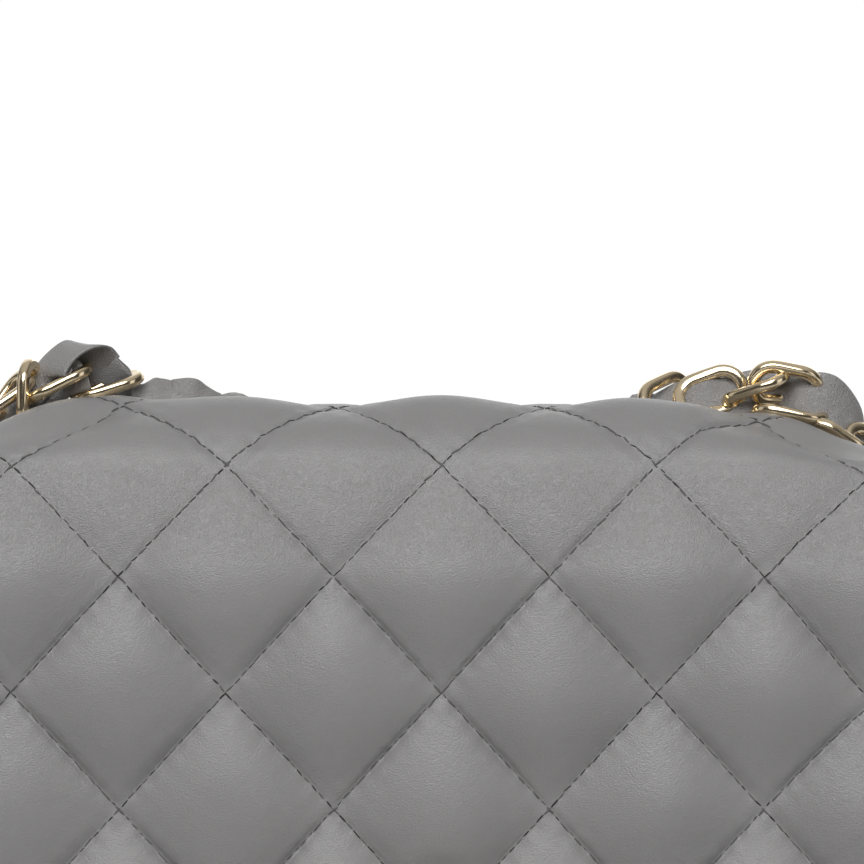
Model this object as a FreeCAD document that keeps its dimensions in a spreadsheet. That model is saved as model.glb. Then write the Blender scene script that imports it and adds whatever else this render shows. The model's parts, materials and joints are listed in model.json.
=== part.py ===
import FreeCAD, Part
import math
import os
import Sketcher
from FreeCAD import Vector, Rotation, Placement

# Quilted flap shoulder bag with a leather-laced chain strap.
# Millimetres. Front faces -Y, +X to the right seen from the front, +Z up,
# floor at z = 0, origin under the middle of the bag.

doc = FreeCAD.newDocument("chain_shoulder_bag")
dims = doc.addObject("Spreadsheet::Sheet", "dims")

CELLS = [
    # shell of the bag
    ("body_half", 109.0), ("base_thick", 3.0), ("board_thick", 1.5),
    ("lining_thick", 0.8), ("wall_thick", 4.0), ("front_in_y", -14.6),
    ("back_out_y", 35.5), ("mouth_z", 116.0), ("mouth_corner", 30.0),
    ("foot_corner", 5.0), ("binding_thick", 0.8), ("binding_drop", 8.0),
    ("binding_half", 76.0),
    # side gussets, folded inward along their middle
    ("gusset_out", 107.0), ("gusset_fold", 9.0), ("gusset_slab", 2.685),
    ("gusset_top", 103.0), ("gusset_lining", 0.86), ("lining_gap", 0.1),
    # flap and rounded top
    ("flap_half", 108.0), ("flap_thick", 4.0), ("flap_front_y", -26.0),
    ("flap_bottom_z", 19.0), ("flap_corner", 22.0), ("crest_y", -7.0),
    ("crest_z", 146.0), ("front_round", 19.0), ("top_round", 60.0),
    ("hinge_y", 5.0), ("hinge_gap", 0.4), ("back_start_y", 20.0),
    ("droop_from", 57.0), ("droop_rate", 0.026), ("droop_power", 1.76),
    ("back_droop", 0.62),
    # turn lock
    ("lock_z", 40.0), ("slot_wide", 6.2), ("slot_low", 11.7),
    ("slot_high", 6.7), ("plate_wide", 18.0), ("plate_tall", 28.0),
    ("plate_thick", 1.4), ("backer_thick", 0.8), ("seat_wide", 15.0),
    ("seat_tall", 22.0), ("seat_thick", 1.2), ("bar_wide", 5.0),
    ("bar_long", 12.0), ("bar_front_y", -35.5), ("bar_back_y", -28.7),
    ("stem_radius", 2.4), ("tip_radius", 1.6), ("bore_radius", 1.68),
    ("rivet_radius", 0.9), ("rivet_reach", 8.2), ("plate_rivet_reach", 11.6),
    # strap eyelets
    ("eyelet_x", 39.0), ("eyelet_y", 15.5), ("eyelet_bore", 6.0),
    ("eyelet_barrel", 6.9), ("eyelet_flange", 9.8), ("eyelet_hole", 7.0),
    ("eyelet_seat", 10.2), ("washer_out", 9.5), ("washer_thick", 0.8),
    # strap
    ("strap_radius", 4.5), ("ring_radius", 7.2), ("ring_wire", 1.2),
    ("ring_depth", 14.8),
    # inner pockets
    ("pocket_half", 46.0), ("pocket_low", 30.0), ("pocket_high", 92.0),
    ("pocket_thick", 1.0), ("zip_half", 62.0), ("zip_z", 84.0),
    ("zip_tape_half", 7.0), ("zip_tape_thick", 0.6), ("tooth_thick", 1.2),
    ("tooth_pitch", 2.4), ("tooth_wide", 1.3), ("tooth_half", 1.5),
    ("slider_half", 4.6), ("slider_side", 3.6), ("slider_channel", 1.9),
    ("slider_rest_x", -50.0), ("pin_radius", 0.75), ("knuckle_bore", 0.86),
    ("knuckle_out", 1.9), ("puller_long", 20.0), ("puller_wide", 6.0),
    ("puller_thick", 1.2),
]
NUM = {}
for row, (name, value) in enumerate(CELLS, start=1):
    dims.set("A%d" % row, name)
    dims.set("B%d" % row, repr(value))
    dims.setAlias("B%d" % row, name)
    NUM[name] = value
doc.recompute()
for name in NUM:
    NUM[name] = float(dims.get(name))


class Size:
    """A number together with the sheet expression that gives it."""

    def __init__(self, v, s):
        self.v = v
        self.s = s

    def __add__(self, o):
        o = size(o)
        return Size(self.v + o.v, "(%s + %s)" % (self.s, o.s))

    def __radd__(self, o):
        return size(o) + self

    def __sub__(self, o):
        o = size(o)
        return Size(self.v - o.v, "(%s - %s)" % (self.s, o.s))

    def __rsub__(self, o):
        return size(o) - self

    def __mul__(self, o):
        o = size(o)
        return Size(self.v * o.v, "(%s * %s)" % (self.s, o.s))

    def __rmul__(self, o):
        return size(o) * self

    def __neg__(self):
        return Size(-self.v, "(0 - %s)" % self.s)


def size(o):
    return o if isinstance(o, Size) else Size(float(o), "(%.6f)" % float(o))


def D(name):
    return Size(NUM[name], "dims." + name)


NODES = []


def node(obj, label):
    obj.Label = label
    NODES.append(obj)
    return obj


def box(name, x0, x1, y0, y1, z0, z1):
    x0, x1, y0, y1, z0, z1 = [size(q) for q in (x0, x1, y0, y1, z0, z1)]
    o = doc.addObject("Part::Box", name)
    for prop, q in (("Length", x1 - x0), ("Width", y1 - y0), ("Height", z1 - z0),
                    ("Placement.Base.x", x0), ("Placement.Base.y", y0),
                    ("Placement.Base.z", z0)):
        o.setExpression(prop, q.s)
    return o


def cylinder_y(name, radius, x, y0, y1, z):
    """Round bar along +Y from y0 to y1."""
    radius, x, y0, y1, z = [size(q) for q in (radius, x, y0, y1, z)]
    o = doc.addObject("Part::Cylinder", name)
    o.Placement = Placement(Vector(x.v, y0.v, z.v), Rotation(Vector(1, 0, 0), -90))
    for prop, q in (("Radius", radius), ("Height", y1 - y0), ("Placement.Base.x", x),
                    ("Placement.Base.y", y0), ("Placement.Base.z", z)):
        o.setExpression(prop, q.s)
    return o


def cut(name, base, tools):
    tool = tools[0]
    if len(tools) > 1:
        tool = doc.addObject("Part::MultiFuse", name + "_tools")
        tool.Shapes = tools
    o = doc.addObject("Part::Cut", name)
    o.Base = base
    o.Tool = tool
    doc.recompute()
    if not o.Shape.Volume < base.Shape.Volume - 1e-6:
        raise RuntimeError("nothing was cut from " + name)
    return o


def plane(body, role):
    for f in body.Origin.OriginFeatures:
        if f.Role == role:
            return f
    raise RuntimeError("no plane " + role)


def outline(body, role, name, pts, offset=0.0):
    """Closed polygon sketch, every corner held by two dimensions from the sheet."""
    sk = body.newObject("Sketcher::SketchObject", name)
    sk.AttachmentSupport = [(plane(body, role), "")]
    sk.MapMode = "FlatFace"
    sk.setExpression("AttachmentOffset.Base.z", size(offset).s)
    pts = [(size(a), size(b)) for a, b in pts]
    n = len(pts)
    for i in range(n):
        a, b = pts[i], pts[(i + 1) % n]
        sk.addGeometry(Part.LineSegment(Vector(a[0].v, a[1].v, 0), Vector(b[0].v, b[1].v, 0)), False)
    for i in range(n):
        sk.addConstraint(Sketcher.Constraint("Coincident", i, 2, (i + 1) % n, 1))
    for i, (a, b) in enumerate(pts):
        for kind, q in (("DistanceX", a), ("DistanceY", b)):
            c = sk.addConstraint(Sketcher.Constraint(kind, -1, 1, i, 1, q.v))
            tag = ("px%d" if kind == "DistanceX" else "py%d") % i
            sk.renameConstraint(c, tag)
            sk.setExpression("Constraints." + tag, q.s)
    return sk


def pad(body, sk, length, reverse=False):
    p = body.newObject("PartDesign::Pad", sk.Name + "_pad")
    p.Profile = sk
    p.Reversed = reverse
    p.setExpression("Length", size(length).s)
    sk.Visibility = False
    doc.recompute()
    return p


def pocket(body, sk, length, reverse=False):
    before = body.Shape.Volume
    p = body.newObject("PartDesign::Pocket", sk.Name + "_pocket")
    p.Profile = sk
    p.Reversed = reverse
    p.setExpression("Length", size(length).s)
    doc.recompute()
    if not body.Shape.Volume < before - 1e-6:
        raise RuntimeError("pocket cut nothing: " + sk.Name)
    return p


def fillet(body, pick, radius):
    tip = body.Tip
    names = ["Edge%d" % (i + 1) for i, e in enumerate(tip.Shape.Edges) if pick(e)]
    if not names:
        raise RuntimeError("no edge to round on " + body.Label)
    f = body.newObject("PartDesign::Fillet", body.Name + "_round%d" % len(body.Group))
    f.Base = (tip, names)
    f.setExpression("Radius", size(radius).s)
    doc.recompute()
    return f


def along(axis, where=None):
    """Straight edges parallel to an axis, with an optional test on their middle."""
    d = {"x": Vector(1, 0, 0), "y": Vector(0, 1, 0), "z": Vector(0, 0, 1)}[axis]

    def pick(e):
        if not isinstance(e.Curve, (Part.Line, Part.LineSegment)):
            return False
        a, b = e.Vertexes[0].Point, e.Vertexes[-1].Point
        t = b.sub(a)
        if t.Length < 1e-6 or abs(abs(t.normalize().dot(d)) - 1) > 1e-6:
            return False
        return where is None or where((a + b) * 0.5)
    return pick


def turned(name, profile):
    """Piece turned about its own Z axis from (radius, height) corners."""
    body = doc.addObject("PartDesign::Body", name)
    sk = outline(body, "XZ_Plane", name + "_profile", profile)
    r = body.newObject("PartDesign::Revolution", name + "_turn")
    r.Profile = sk
    r.ReferenceAxis = (sk, ["V_Axis"])
    r.Angle = 360
    doc.recompute()
    return body


# ----------------------------------------------------------------- flat shell
front_out = D("front_in_y") - D("wall_thick")
back_in = D("back_out_y") - D("wall_thick")
line_front = D("front_in_y") + D("lining_thick")
line_back = back_in - D("lining_thick")
floor_in = D("base_thick") + D("board_thick") + D("lining_thick")
half = D("body_half")

base = doc.addObject("PartDesign::Body", "base_panel")
sk = outline(base, "XY_Plane", "base_outline",
             [(-half, front_out), (half, front_out), (half, D("back_out_y")), (-half, D("back_out_y"))])
pad(base, sk, D("base_thick"))
fillet(base, along("z"), D("foot_corner"))
node(base, "base_panel")

inner_half = D("gusset_out") - D("gusset_fold") - D("gusset_slab") - D("gusset_lining") - 0.6
node(box("base_board", -inner_half, inner_half, line_front, line_back,
         D("base_thick"), D("base_thick") + D("board_thick")), "base_board")
node(box("lining_base", -inner_half, inner_half, line_front, line_back,
         D("base_thick") + D("board_thick"), floor_in), "lining_base")

front = doc.addObject("PartDesign::Body", "front_panel_body")
sk = outline(front, "XZ_Plane", "front_outline",
             [(-half, D("base_thick")), (half, D("base_thick")), (half, D("mouth_z")), (-half, D("mouth_z"))],
             -D("front_in_y"))
pad(front, sk, D("wall_thick"))
fillet(front, along("y", lambda p: p.z > 60), D("mouth_corner"))
fillet(front, along("y", lambda p: p.z < 60), D("foot_corner"))
sw, st = D("seat_wide") * 0.5 + 0.3, D("seat_tall") * 0.5 + 0.3
sk = outline(front, "XZ_Plane", "front_recess",
             [(-sw, D("lock_z") - st), (sw, D("lock_z") - st), (sw, D("lock_z") + st), (-sw, D("lock_z") + st)],
             -D("front_in_y"))
pocket(front, sk, D("seat_thick") + 0.1, True)
stem_hole = cylinder_y("front_stem_hole", D("stem_radius") + 0.1, 0, front_out - 1, D("front_in_y") + 1, D("lock_z"))
rv_a = cylinder_y("front_rivet_hole_a", D("rivet_radius") + 0.05, 0, front_out - 1, D("front_in_y") + 1,
                  D("lock_z") + D("rivet_reach"))
rv_b = cylinder_y("front_rivet_hole_b", D("rivet_radius") + 0.05, 0, front_out - 1, D("front_in_y") + 1,
                  D("lock_z") - D("rivet_reach"))
node(cut("front_panel", front, [stem_hole, rv_a, rv_b]), "front_panel")

lf_half = D("gusset_out") - D("gusset_slab") - D("gusset_lining") - 0.7
lf = doc.addObject("PartDesign::Body", "lining_front")
sk = outline(lf, "XZ_Plane", "lining_front_outline",
             [(-lf_half, floor_in), (lf_half, floor_in), (lf_half, D("mouth_z")), (-lf_half, D("mouth_z"))],
             -line_front)
pad(lf, sk, D("lining_thick"))
fillet(lf, along("y", lambda p: p.z > 60), D("mouth_corner") - 3)
node(lf, "lining_front")
lb = doc.addObject("PartDesign::Body", "lining_back")
lb_top = D("gusset_top") + 6
sk = outline(lb, "XZ_Plane", "lining_back_outline",
             [(-lf_half, floor_in), (lf_half, floor_in), (lf_half, lb_top), (-lf_half, lb_top)], -back_in)
pad(lb, sk, back_in - line_back)
fillet(lb, along("y", lambda p: p.z > 60), D("mouth_corner"))
node(lb, "lining_back")

bind = box("binding_block", -D("binding_half"), D("binding_half"), front_out - D("binding_thick"),
           line_front + D("binding_thick"), D("mouth_z") - D("binding_drop"), D("mouth_z") + D("binding_thick"))
bind_hollow = box("binding_hollow", -D("binding_half") - 1, D("binding_half") + 1, front_out, line_front,
                  D("mouth_z") - D("binding_drop") - 1, D("mouth_z"))
node(cut("mouth_binding", bind, [bind_hollow]), "mouth_binding")

mid_y = (D("front_in_y") + back_in) * 0.5
span = (back_in - D("front_in_y")) * 0.5
for side, sign in (("left", -1.0), ("right", 1.0)):
    go, gi = D("gusset_out"), D("gusset_out") - D("gusset_slab")
    g = doc.addObject("PartDesign::Body", "gusset_" + side)
    sk = outline(g, "XY_Plane", "gusset_%s_outline" % side,
                 [(sign * go, D("front_in_y")), (sign * (go - D("gusset_fold")), mid_y), (sign * go, back_in),
                  (sign * gi, back_in), (sign * (gi - D("gusset_fold")), mid_y), (sign * gi, D("front_in_y"))],
                 D("base_thick"))
    pad(g, sk, D("gusset_top") - D("base_thick"))
    node(g, "gusset_" + side)
    lo = gi - D("lining_gap")
    li = lo - D("gusset_lining")
    y_lo, y_hi = line_front + 0.05, line_back - 0.05
    lean = D("gusset_fold").v / span.v * (D("lining_thick").v + 0.05)
    g = doc.addObject("PartDesign::Body", "lining_" + side)
    sk = outline(g, "XY_Plane", "lining_%s_outline" % side,
                 [(sign * (lo - lean), y_lo), (sign * (lo - D("gusset_fold")), mid_y), (sign * (lo - lean), y_hi),
                  (sign * (li - lean), y_hi), (sign * (li - D("gusset_fold")), mid_y), (sign * (li - lean), y_lo)],
                 D("base_thick"))
    pad(g, sk, D("gusset_top") - D("base_thick") - 1)
    node(g, "lining_" + side)

# --------------------------------------------------- soft top: flap and back
# The rounded top and its drooping shoulders are a draped shape, so these three
# shells are ruled between side profiles worked out from the sheet.
N = NUM


def droop(x):
    return N["droop_rate"] * max(0.0, abs(x) - N["droop_from"]) ** N["droop_power"]


def arc_pts(c, r, a0, a1):
    out = []
    for a in (a0, 0.5 * (a0 + a1), a1):
        out.append((c[0] + r * math.cos(a), c[1] + r * math.sin(a)))
    return out


def flap_profile(x, near, far):
    """Closed side profile of the flap between two depths under its outer face."""
    d = droop(x)
    cf = (N["crest_y"], N["crest_z"] - N["front_round"] - d)
    ct = (N["crest_y"], N["crest_z"] - N["top_round"] - d)
    end_y = N["hinge_y"] - 0.5 * N["hinge_gap"]
    edges = []

    def seg(a, b):
        edges.append(Part.LineSegment(Vector(x, a[0], a[1]), Vector(x, b[0], b[1])).toShape())

    def arc(p):
        edges.append(Part.Arc(*[Vector(x, q[0], q[1]) for q in p]).toShape())

    def side(off):
        rf, rt = N["front_round"] - off, N["top_round"] - off
        end_a = math.acos((end_y - ct[0]) / rt)
        return ((N["flap_front_y"] + off, N["flap_bottom_z"]), (N["flap_front_y"] + off, cf[1]),
                arc_pts(cf, rf, math.pi, math.pi / 2), arc_pts(ct, rt, math.pi / 2, end_a))
    o, i = side(near), side(far)
    seg(o[0], o[1])
    arc(o[2])
    arc(o[3])
    seg(o[3][2], i[3][2])
    arc(i[3][::-1])
    arc(i[2][::-1])
    seg(i[1], i[0])
    seg(i[0], o[0])
    return Part.Wire(edges)


def back_profile(x, near, far):
    d = N["back_droop"] * droop(x)
    ct = (N["crest_y"], N["crest_z"] - N["top_round"] - d)
    a_s = math.acos((N["back_start_y"] - ct[0]) / N["top_round"])
    n = (math.cos(a_s), math.sin(a_s))
    rb = (N["back_out_y"] - N["back_start_y"]) / (1 - n[0])
    cb = (N["back_start_y"] - rb * n[0], ct[1] + N["top_round"] * n[1] - rb * n[1])
    end_y = N["hinge_y"] + 0.5 * N["hinge_gap"]
    edges = []

    def seg(a, b):
        edges.append(Part.LineSegment(Vector(x, a[0], a[1]), Vector(x, b[0], b[1])).toShape())

    def arc(p):
        edges.append(Part.Arc(*[Vector(x, q[0], q[1]) for q in p]).toShape())

    def side(off):
        end_a = math.acos((end_y - ct[0]) / (N["top_round"] - off))
        return ((N["back_out_y"] - off, N["base_thick"]), (N["back_out_y"] - off, cb[1]),
                arc_pts(cb, rb - off, 0.0, a_s), arc_pts(ct, N["top_round"] - off, a_s, end_a))
    o, i = side(near), side(far)
    seg(o[0], o[1])
    arc(o[2])
    arc(o[3])
    seg(o[3][2], i[3][2])
    arc(i[3][::-1])
    arc(i[2][::-1])
    seg(i[1], i[0])
    seg(i[0], o[0])
    return Part.Wire(edges)


def stations(edge):
    xs = [N["droop_from"]]
    steps = 6
    for k in range(1, steps + 1):
        xs.append(N["droop_from"] + (edge - N["droop_from"]) * k / steps)
    return [-q for q in xs[::-1]] + xs


def prism_xz(pts, y0, y1):
    w = Part.makePolygon([Vector(a, y0, b) for a, b in pts] + [Vector(pts[0][0], y0, pts[0][1])])
    return Part.Face(w).extrude(Vector(0, y1 - y0, 0))


def corner_tools():
    """What is cut from the two lower corners of the flap, seen from the front."""
    out = []
    r, e, zb = N["flap_corner"], N["flap_half"], N["flap_bottom_z"]
    for s in (-1, 1):
        block = Part.makeBox(r + 5, 12, r + 5, Vector(s * e - (r if s > 0 else 5), N["flap_front_y"] - 3, zb - 5))
        disc = Part.makeCylinder(r, 12, Vector(s * (e - r), N["flap_front_y"] - 3, zb + r), Vector(0, 1, 0))
        out.append(block.cut(disc))
    return out


def slot_tool(grow=0.0):
    w = N["slot_wide"] / 2 + grow
    lo, hi = N["lock_z"] - N["slot_low"] - grow, N["lock_z"] + N["slot_high"] + grow
    y0, y1 = N["flap_front_y"] - 3, N["flap_front_y"] + 9
    mid = prism_xz([(-w, lo + w), (w, lo + w), (w, hi - w), (-w, hi - w)], y0, y1)
    for z in (lo + w, hi - w):
        mid = mid.fuse(Part.makeCylinder(w, y1 - y0, Vector(0, y0, z), Vector(0, 1, 0)))
    return mid


slot_mid = N["lock_z"] + 0.5 * (N["slot_high"] - N["slot_low"])


def flap_solid(near, far):
    s = Part.makeLoft([flap_profile(x, near, far) for x in stations(N["flap_half"])], True, True)
    v = s.Volume
    for t in corner_tools():
        s = s.cut(t)
    s = s.cut(slot_tool(0.15))
    for dz in (-1, 1):
        s = s.cut(Part.makeCylinder(N["rivet_radius"] + 0.05, 14,
                                    Vector(0, N["flap_front_y"] - 3, slot_mid + dz * N["plate_rivet_reach"]),
                                    Vector(0, 1, 0)))
    if not s.Volume < v:
        raise RuntimeError("flap was not cut")
    return s.Solids[0] if len(s.Solids) == 1 else s


flap = doc.addObject("Part::Feature", "flap_shell")
flap.Shape = flap_solid(0.0, N["flap_thick"])
node(flap, "flap_shell")
flap_in = N["flap_thick"] + N["lining_gap"]
flap_lining = doc.addObject("Part::Feature", "flap_lining")
flap_lining.Shape = flap_solid(flap_in, flap_in + N["lining_thick"])
node(flap_lining, "flap_lining")

back_raw = doc.addObject("Part::Feature", "back_shell")
back_raw.Shape = Part.makeLoft([back_profile(x, 0.0, N["wall_thick"]) for x in stations(N["body_half"])], True, True)

# ------------------------------------------------------------------- eyelets
ct_z = N["crest_z"] - N["top_round"]
ey_n = Vector(0, (N["eyelet_y"] - N["crest_y"]) / N["top_round"], 0)
ey_n.z = math.sqrt(1 - ey_n.y ** 2)
ey_z = ct_z + N["top_round"] * ey_n.z
ey_rot = Rotation(Vector(0, 0, 1), ey_n)
print("eyelet centre z %.3f tilt %.2f deg" % (ey_z, math.degrees(math.acos(ey_n.z))))

tools = []
for side, sign in (("left", -1), ("right", 1)):
    at = Vector(sign * N["eyelet_x"], N["eyelet_y"], ey_z)
    for name, radius, lo, hi in (("hole", "eyelet_hole", -9.0, 6.0), ("seat", "eyelet_seat", -0.8, 4.0),
                                 ("inner", "eyelet_seat", -9.0, -3.8)):
        c = doc.addObject("Part::Cylinder", "eyelet_%s_%s" % (name, side))
        c.setExpression("Radius", D(radius).s)
        c.Height = hi - lo
        c.Placement = Placement(at + ey_n * lo, ey_rot)
        tools.append(c)
    fl, br, bo = D("eyelet_flange"), D("eyelet_barrel"), D("eyelet_bore")
    wt = D("washer_thick")
    e = turned("eyelet_" + side, [(bo, 0.4), (fl, 0.4), (fl, -0.8), (br, -0.8), (br, -3.8 - wt),
                                  (br + 0.9, -3.8 - wt), (br + 0.9, -4.4 - wt), (bo, -4.4 - wt)])
    fillet(e, lambda ed: ed.BoundBox.ZMax > 0.39 and ed.BoundBox.ZMin > 0.39, 0.5)
    e.Placement = Placement(at, ey_rot)
    node(e, "eyelet_" + side)
    w = turned("eyelet_washer_" + side, [(br + 0.05, -3.8), (D("washer_out"), -3.8),
                                         (D("washer_out"), -3.8 - wt), (br + 0.05, -3.8 - wt)])
    w.Placement = Placement(at, ey_rot)
    node(w, "eyelet_washer_" + side)
    ring = doc.addObject("Part::Torus", "strap_end_ring_" + side)
    ring.setExpression("Radius1", D("ring_radius").s)
    ring.setExpression("Radius2", D("ring_wire").s)
    ring.Placement = Placement(at - ey_n * N["ring_depth"], Rotation(Vector(0, 0, 1), ey_n.cross(Vector(1, 0, 0))))
    node(ring, "strap_end_ring_" + side)
node(cut("back_panel", back_raw, tools), "back_panel")

# ----------------------------------------------------------------- turn lock
lz = D("lock_z")
flap_out = D("flap_front_y")
flap_inner = flap_out + D("flap_thick") + D("lining_gap") + D("lining_thick")
mid_z = lz + (D("slot_high") - D("slot_low")) * 0.5
slot_half = (D("slot_high") + D("slot_low")) * 0.5


def oval_plate(name, wide, tall, cz, face_y, thick, slot=True, edge=0.0):
    """Oval plate standing in front of face_y, with the lock slot cut through it."""
    b = doc.addObject("PartDesign::Body", name)
    w, t = size(wide) * 0.5, size(tall) * 0.5
    sk = outline(b, "XZ_Plane", name + "_outline",
                 [(-w, cz - t), (w, cz - t), (w, cz + t), (-w, cz + t)], -size(face_y))
    pad(b, sk, thick)
    fillet(b, along("y"), w - 0.02)
    if edge:
        front_y = size(face_y).v - size(thick).v
        fillet(b, lambda e: abs(e.BoundBox.YMin - front_y) < 1e-4 and abs(e.BoundBox.YMax - front_y) < 1e-4, edge)
    if slot:
        h, u = D("slot_wide") * 0.5, slot_half
        sk = outline(b, "XZ_Plane", name + "_slot",
                     [(-h, mid_z - u), (h, mid_z - u), (h, mid_z + u), (-h, mid_z + u)], -size(face_y))
        pocket(b, sk, size(thick) + 1, True)
        fillet(b, along("y", lambda p: abs(p.x) < N["slot_wide"] * 0.51 and abs(abs(p.z - mid_z.v) - slot_half.v) < 0.1),
               h - 0.02)
    return b


def drill(label, body, points, radius, y0, y1):
    holes = [cylinder_y("%s_hole%d" % (label, k), radius, x, y0, y1, z) for k, (x, z) in enumerate(points)]
    return node(cut(label, body, holes), label)


plate_pts = [(size(0), mid_z - D("plate_rivet_reach")), (size(0), mid_z + D("plate_rivet_reach"))]
drill("lock_plate", oval_plate("lock_plate_body", D("plate_wide"), D("plate_tall"), mid_z, flap_out, D("plate_thick"), True, 0.6),
      plate_pts, D("rivet_radius") + 0.03, flap_out - 6, flap_out + 2)
drill("lock_plate_backer", oval_plate("lock_backer_body", D("plate_wide") - 1, D("plate_tall") - 1, mid_z,
                                      flap_inner + D("backer_thick"), D("backer_thick")),
      plate_pts, D("rivet_radius") + 0.03, flap_inner - 3, flap_inner + 3)
pins = []
for k, (x, z) in enumerate(plate_pts):
    pins.append(cylinder_y("plate_rivet_%d" % k, D("rivet_radius"), x, flap_out - D("plate_thick") - 0.2,
                           flap_inner + D("backer_thick"), z))
group = doc.addObject("Part::Compound", "lock_plate_rivets")
group.Links = pins
node(group, "lock_plate_rivets")

seat_pts = [(size(0), lz), (size(0), lz - D("rivet_reach")), (size(0), lz + D("rivet_reach"))]
seat = oval_plate("lock_seat_body", D("seat_wide"), D("seat_tall"), lz, front_out, D("seat_thick"), False, 0.4)
seat_holes = [cylinder_y("seat_stem_hole", D("stem_radius") + 0.02, 0, front_out - 4, front_out + 2, lz),
              cylinder_y("seat_rivet_a", D("rivet_radius") + 0.03, 0, front_out - 4, front_out + 2, lz - D("rivet_reach")),
              cylinder_y("seat_rivet_b", D("rivet_radius") + 0.03, 0, front_out - 4, front_out + 2, lz + D("rivet_reach"))]
node(cut("lock_seat", seat, seat_holes), "lock_seat")
back_face = D("front_in_y") - 0.05
seat_back = oval_plate("lock_seat_backer_body", D("seat_wide"), D("seat_tall"), lz, back_face, D("seat_thick"), False)
back_holes = [cylinder_y("backer_stem_hole", D("stem_radius") + 0.02, 0, front_out - 4, back_face + 2, lz),
              cylinder_y("backer_rivet_a", D("rivet_radius") + 0.03, 0, front_out - 4, back_face + 2, lz - D("rivet_reach")),
              cylinder_y("backer_rivet_b", D("rivet_radius") + 0.03, 0, front_out - 4, back_face + 2, lz + D("rivet_reach"))]
node(cut("lock_seat_backer", seat_back, back_holes), "lock_seat_backer")
pins = [cylinder_y("seat_rivet_pin_%d" % k, D("rivet_radius"), 0, front_out - D("seat_thick"), back_face, z)
        for k, z in enumerate((lz - D("rivet_reach"), lz + D("rivet_reach")))]
group = doc.addObject("Part::Compound", "lock_seat_rivets")
group.Links = pins
node(group, "lock_seat_rivets")

# stem: turned about its own axis, which is laid along -Y
shoulder = 0.3
stem_len = back_face - (D("bar_back_y") + shoulder)
tip_len = back_face - (D("bar_back_y") - 3.6)
stem = turned("lock_stem", [(0, 0), (D("stem_radius"), 0), (D("stem_radius"), stem_len),
                            (D("tip_radius"), stem_len), (D("tip_radius"), tip_len), (0, tip_len)])
stem.Placement = Placement(Vector(0, back_face.v, lz.v), Rotation(Vector(1, 0, 0), 90))
node(stem, "lock_stem")

bar = doc.addObject("PartDesign::Body", "lock_bar_body")
bw, bl = D("bar_wide") * 0.5, D("bar_long") * 0.5
sk = outline(bar, "XZ_Plane", "lock_bar_outline", [(-bw, lz - bl), (bw, lz - bl), (bw, lz + bl), (-bw, lz + bl)],
             -D("bar_back_y"))
pad(bar, sk, D("bar_back_y") - D("bar_front_y"))
fillet(bar, along("y"), bw - 0.02)
front_y = N["bar_front_y"]
fillet(bar, lambda e: e.BoundBox.YMax < front_y + 1e-4, 1.2)
bore = cylinder_y("lock_bar_bore", D("bore_radius"), 0, D("bar_back_y") - 4.0, D("bar_back_y") + 2, lz)
node(cut("lock_bar", bar, [bore]), "lock_bar")

# ------------------------------------------------------------- inner pockets
node(box("slip_pocket", -D("pocket_half"), D("pocket_half"), line_front, line_front + D("pocket_thick"),
         D("pocket_low"), D("pocket_high")), "slip_pocket")

zz = D("zip_z")
tape_in = line_back - D("zip_tape_thick")
tooth_in = tape_in - D("tooth_thick")
node(box("zip_tape", -D("zip_half") - 5, D("zip_half") + 5, tape_in, line_back,
         zz - D("zip_tape_half"), zz + D("zip_tape_half")), "zip_tape")
teeth = []
count = int(2 * (N["zip_half"] - 2) / N["tooth_pitch"]) * 2
for k in range(count):
    x = -N["zip_half"] + 2 + (k + 0.5) * N["tooth_pitch"] / 2
    lo = -N["tooth_half"] if k % 2 else -0.55
    teeth.append(Part.makeBox(0.9, N["tooth_thick"], N["tooth_half"] + 0.55,
                              Vector(x - 0.45, tooth_in.v, N["zip_z"] + lo)))
zt = doc.addObject("Part::Feature", "zip_teeth")
zt.Shape = Part.makeCompound(teeth)
node(zt, "zip_teeth")
stops = [box("zip_stop_%d" % k, c - 1.0, c + 1.0, tooth_in, tape_in, zz - 2.6, zz + 2.6)
         for k, c in enumerate((-D("zip_half"), D("zip_half")))]
group = doc.addObject("Part::Compound", "zip_stops")
group.Links = stops
node(group, "zip_stops")

sx = D("slider_rest_x")
plate_y = tooth_in - 0.4
top_y = plate_y - 1.8
slide_block = box("slider_block", sx - D("slider_half"), sx + D("slider_half"), top_y, tape_in - 0.3,
                  zz - D("slider_side"), zz + D("slider_side"))
channel = box("slider_channel_cut", sx - D("slider_half") - 1, sx + D("slider_half") + 1, plate_y, tape_in + 1,
              zz - D("slider_channel"), zz + D("slider_channel"))
slide = cut("slider_shell", slide_block, [channel])
pin_y = top_y - 0.4 - D("knuckle_out")
lugs = [box("slider_lug_%d" % k, sx - 1.6, sx + 1.6, pin_y - 1.5, top_y, zz + a, zz + b)
        for k, (a, b) in enumerate(((-3.4, -2.0), (2.0, 3.4)))]
pin = doc.addObject("Part::Cylinder", "slider_pin")
for prop, q in (("Radius", D("pin_radius")), ("Height", size(6.0)), ("Placement.Base.x", sx),
                ("Placement.Base.y", pin_y), ("Placement.Base.z", zz - 3.0)):
    pin.setExpression(prop, q.s)
slider = doc.addObject("Part::MultiFuse", "zip_slider")
slider.Shapes = [slide, lugs[0], lugs[1], pin]
node(slider, "zip_slider")

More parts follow.
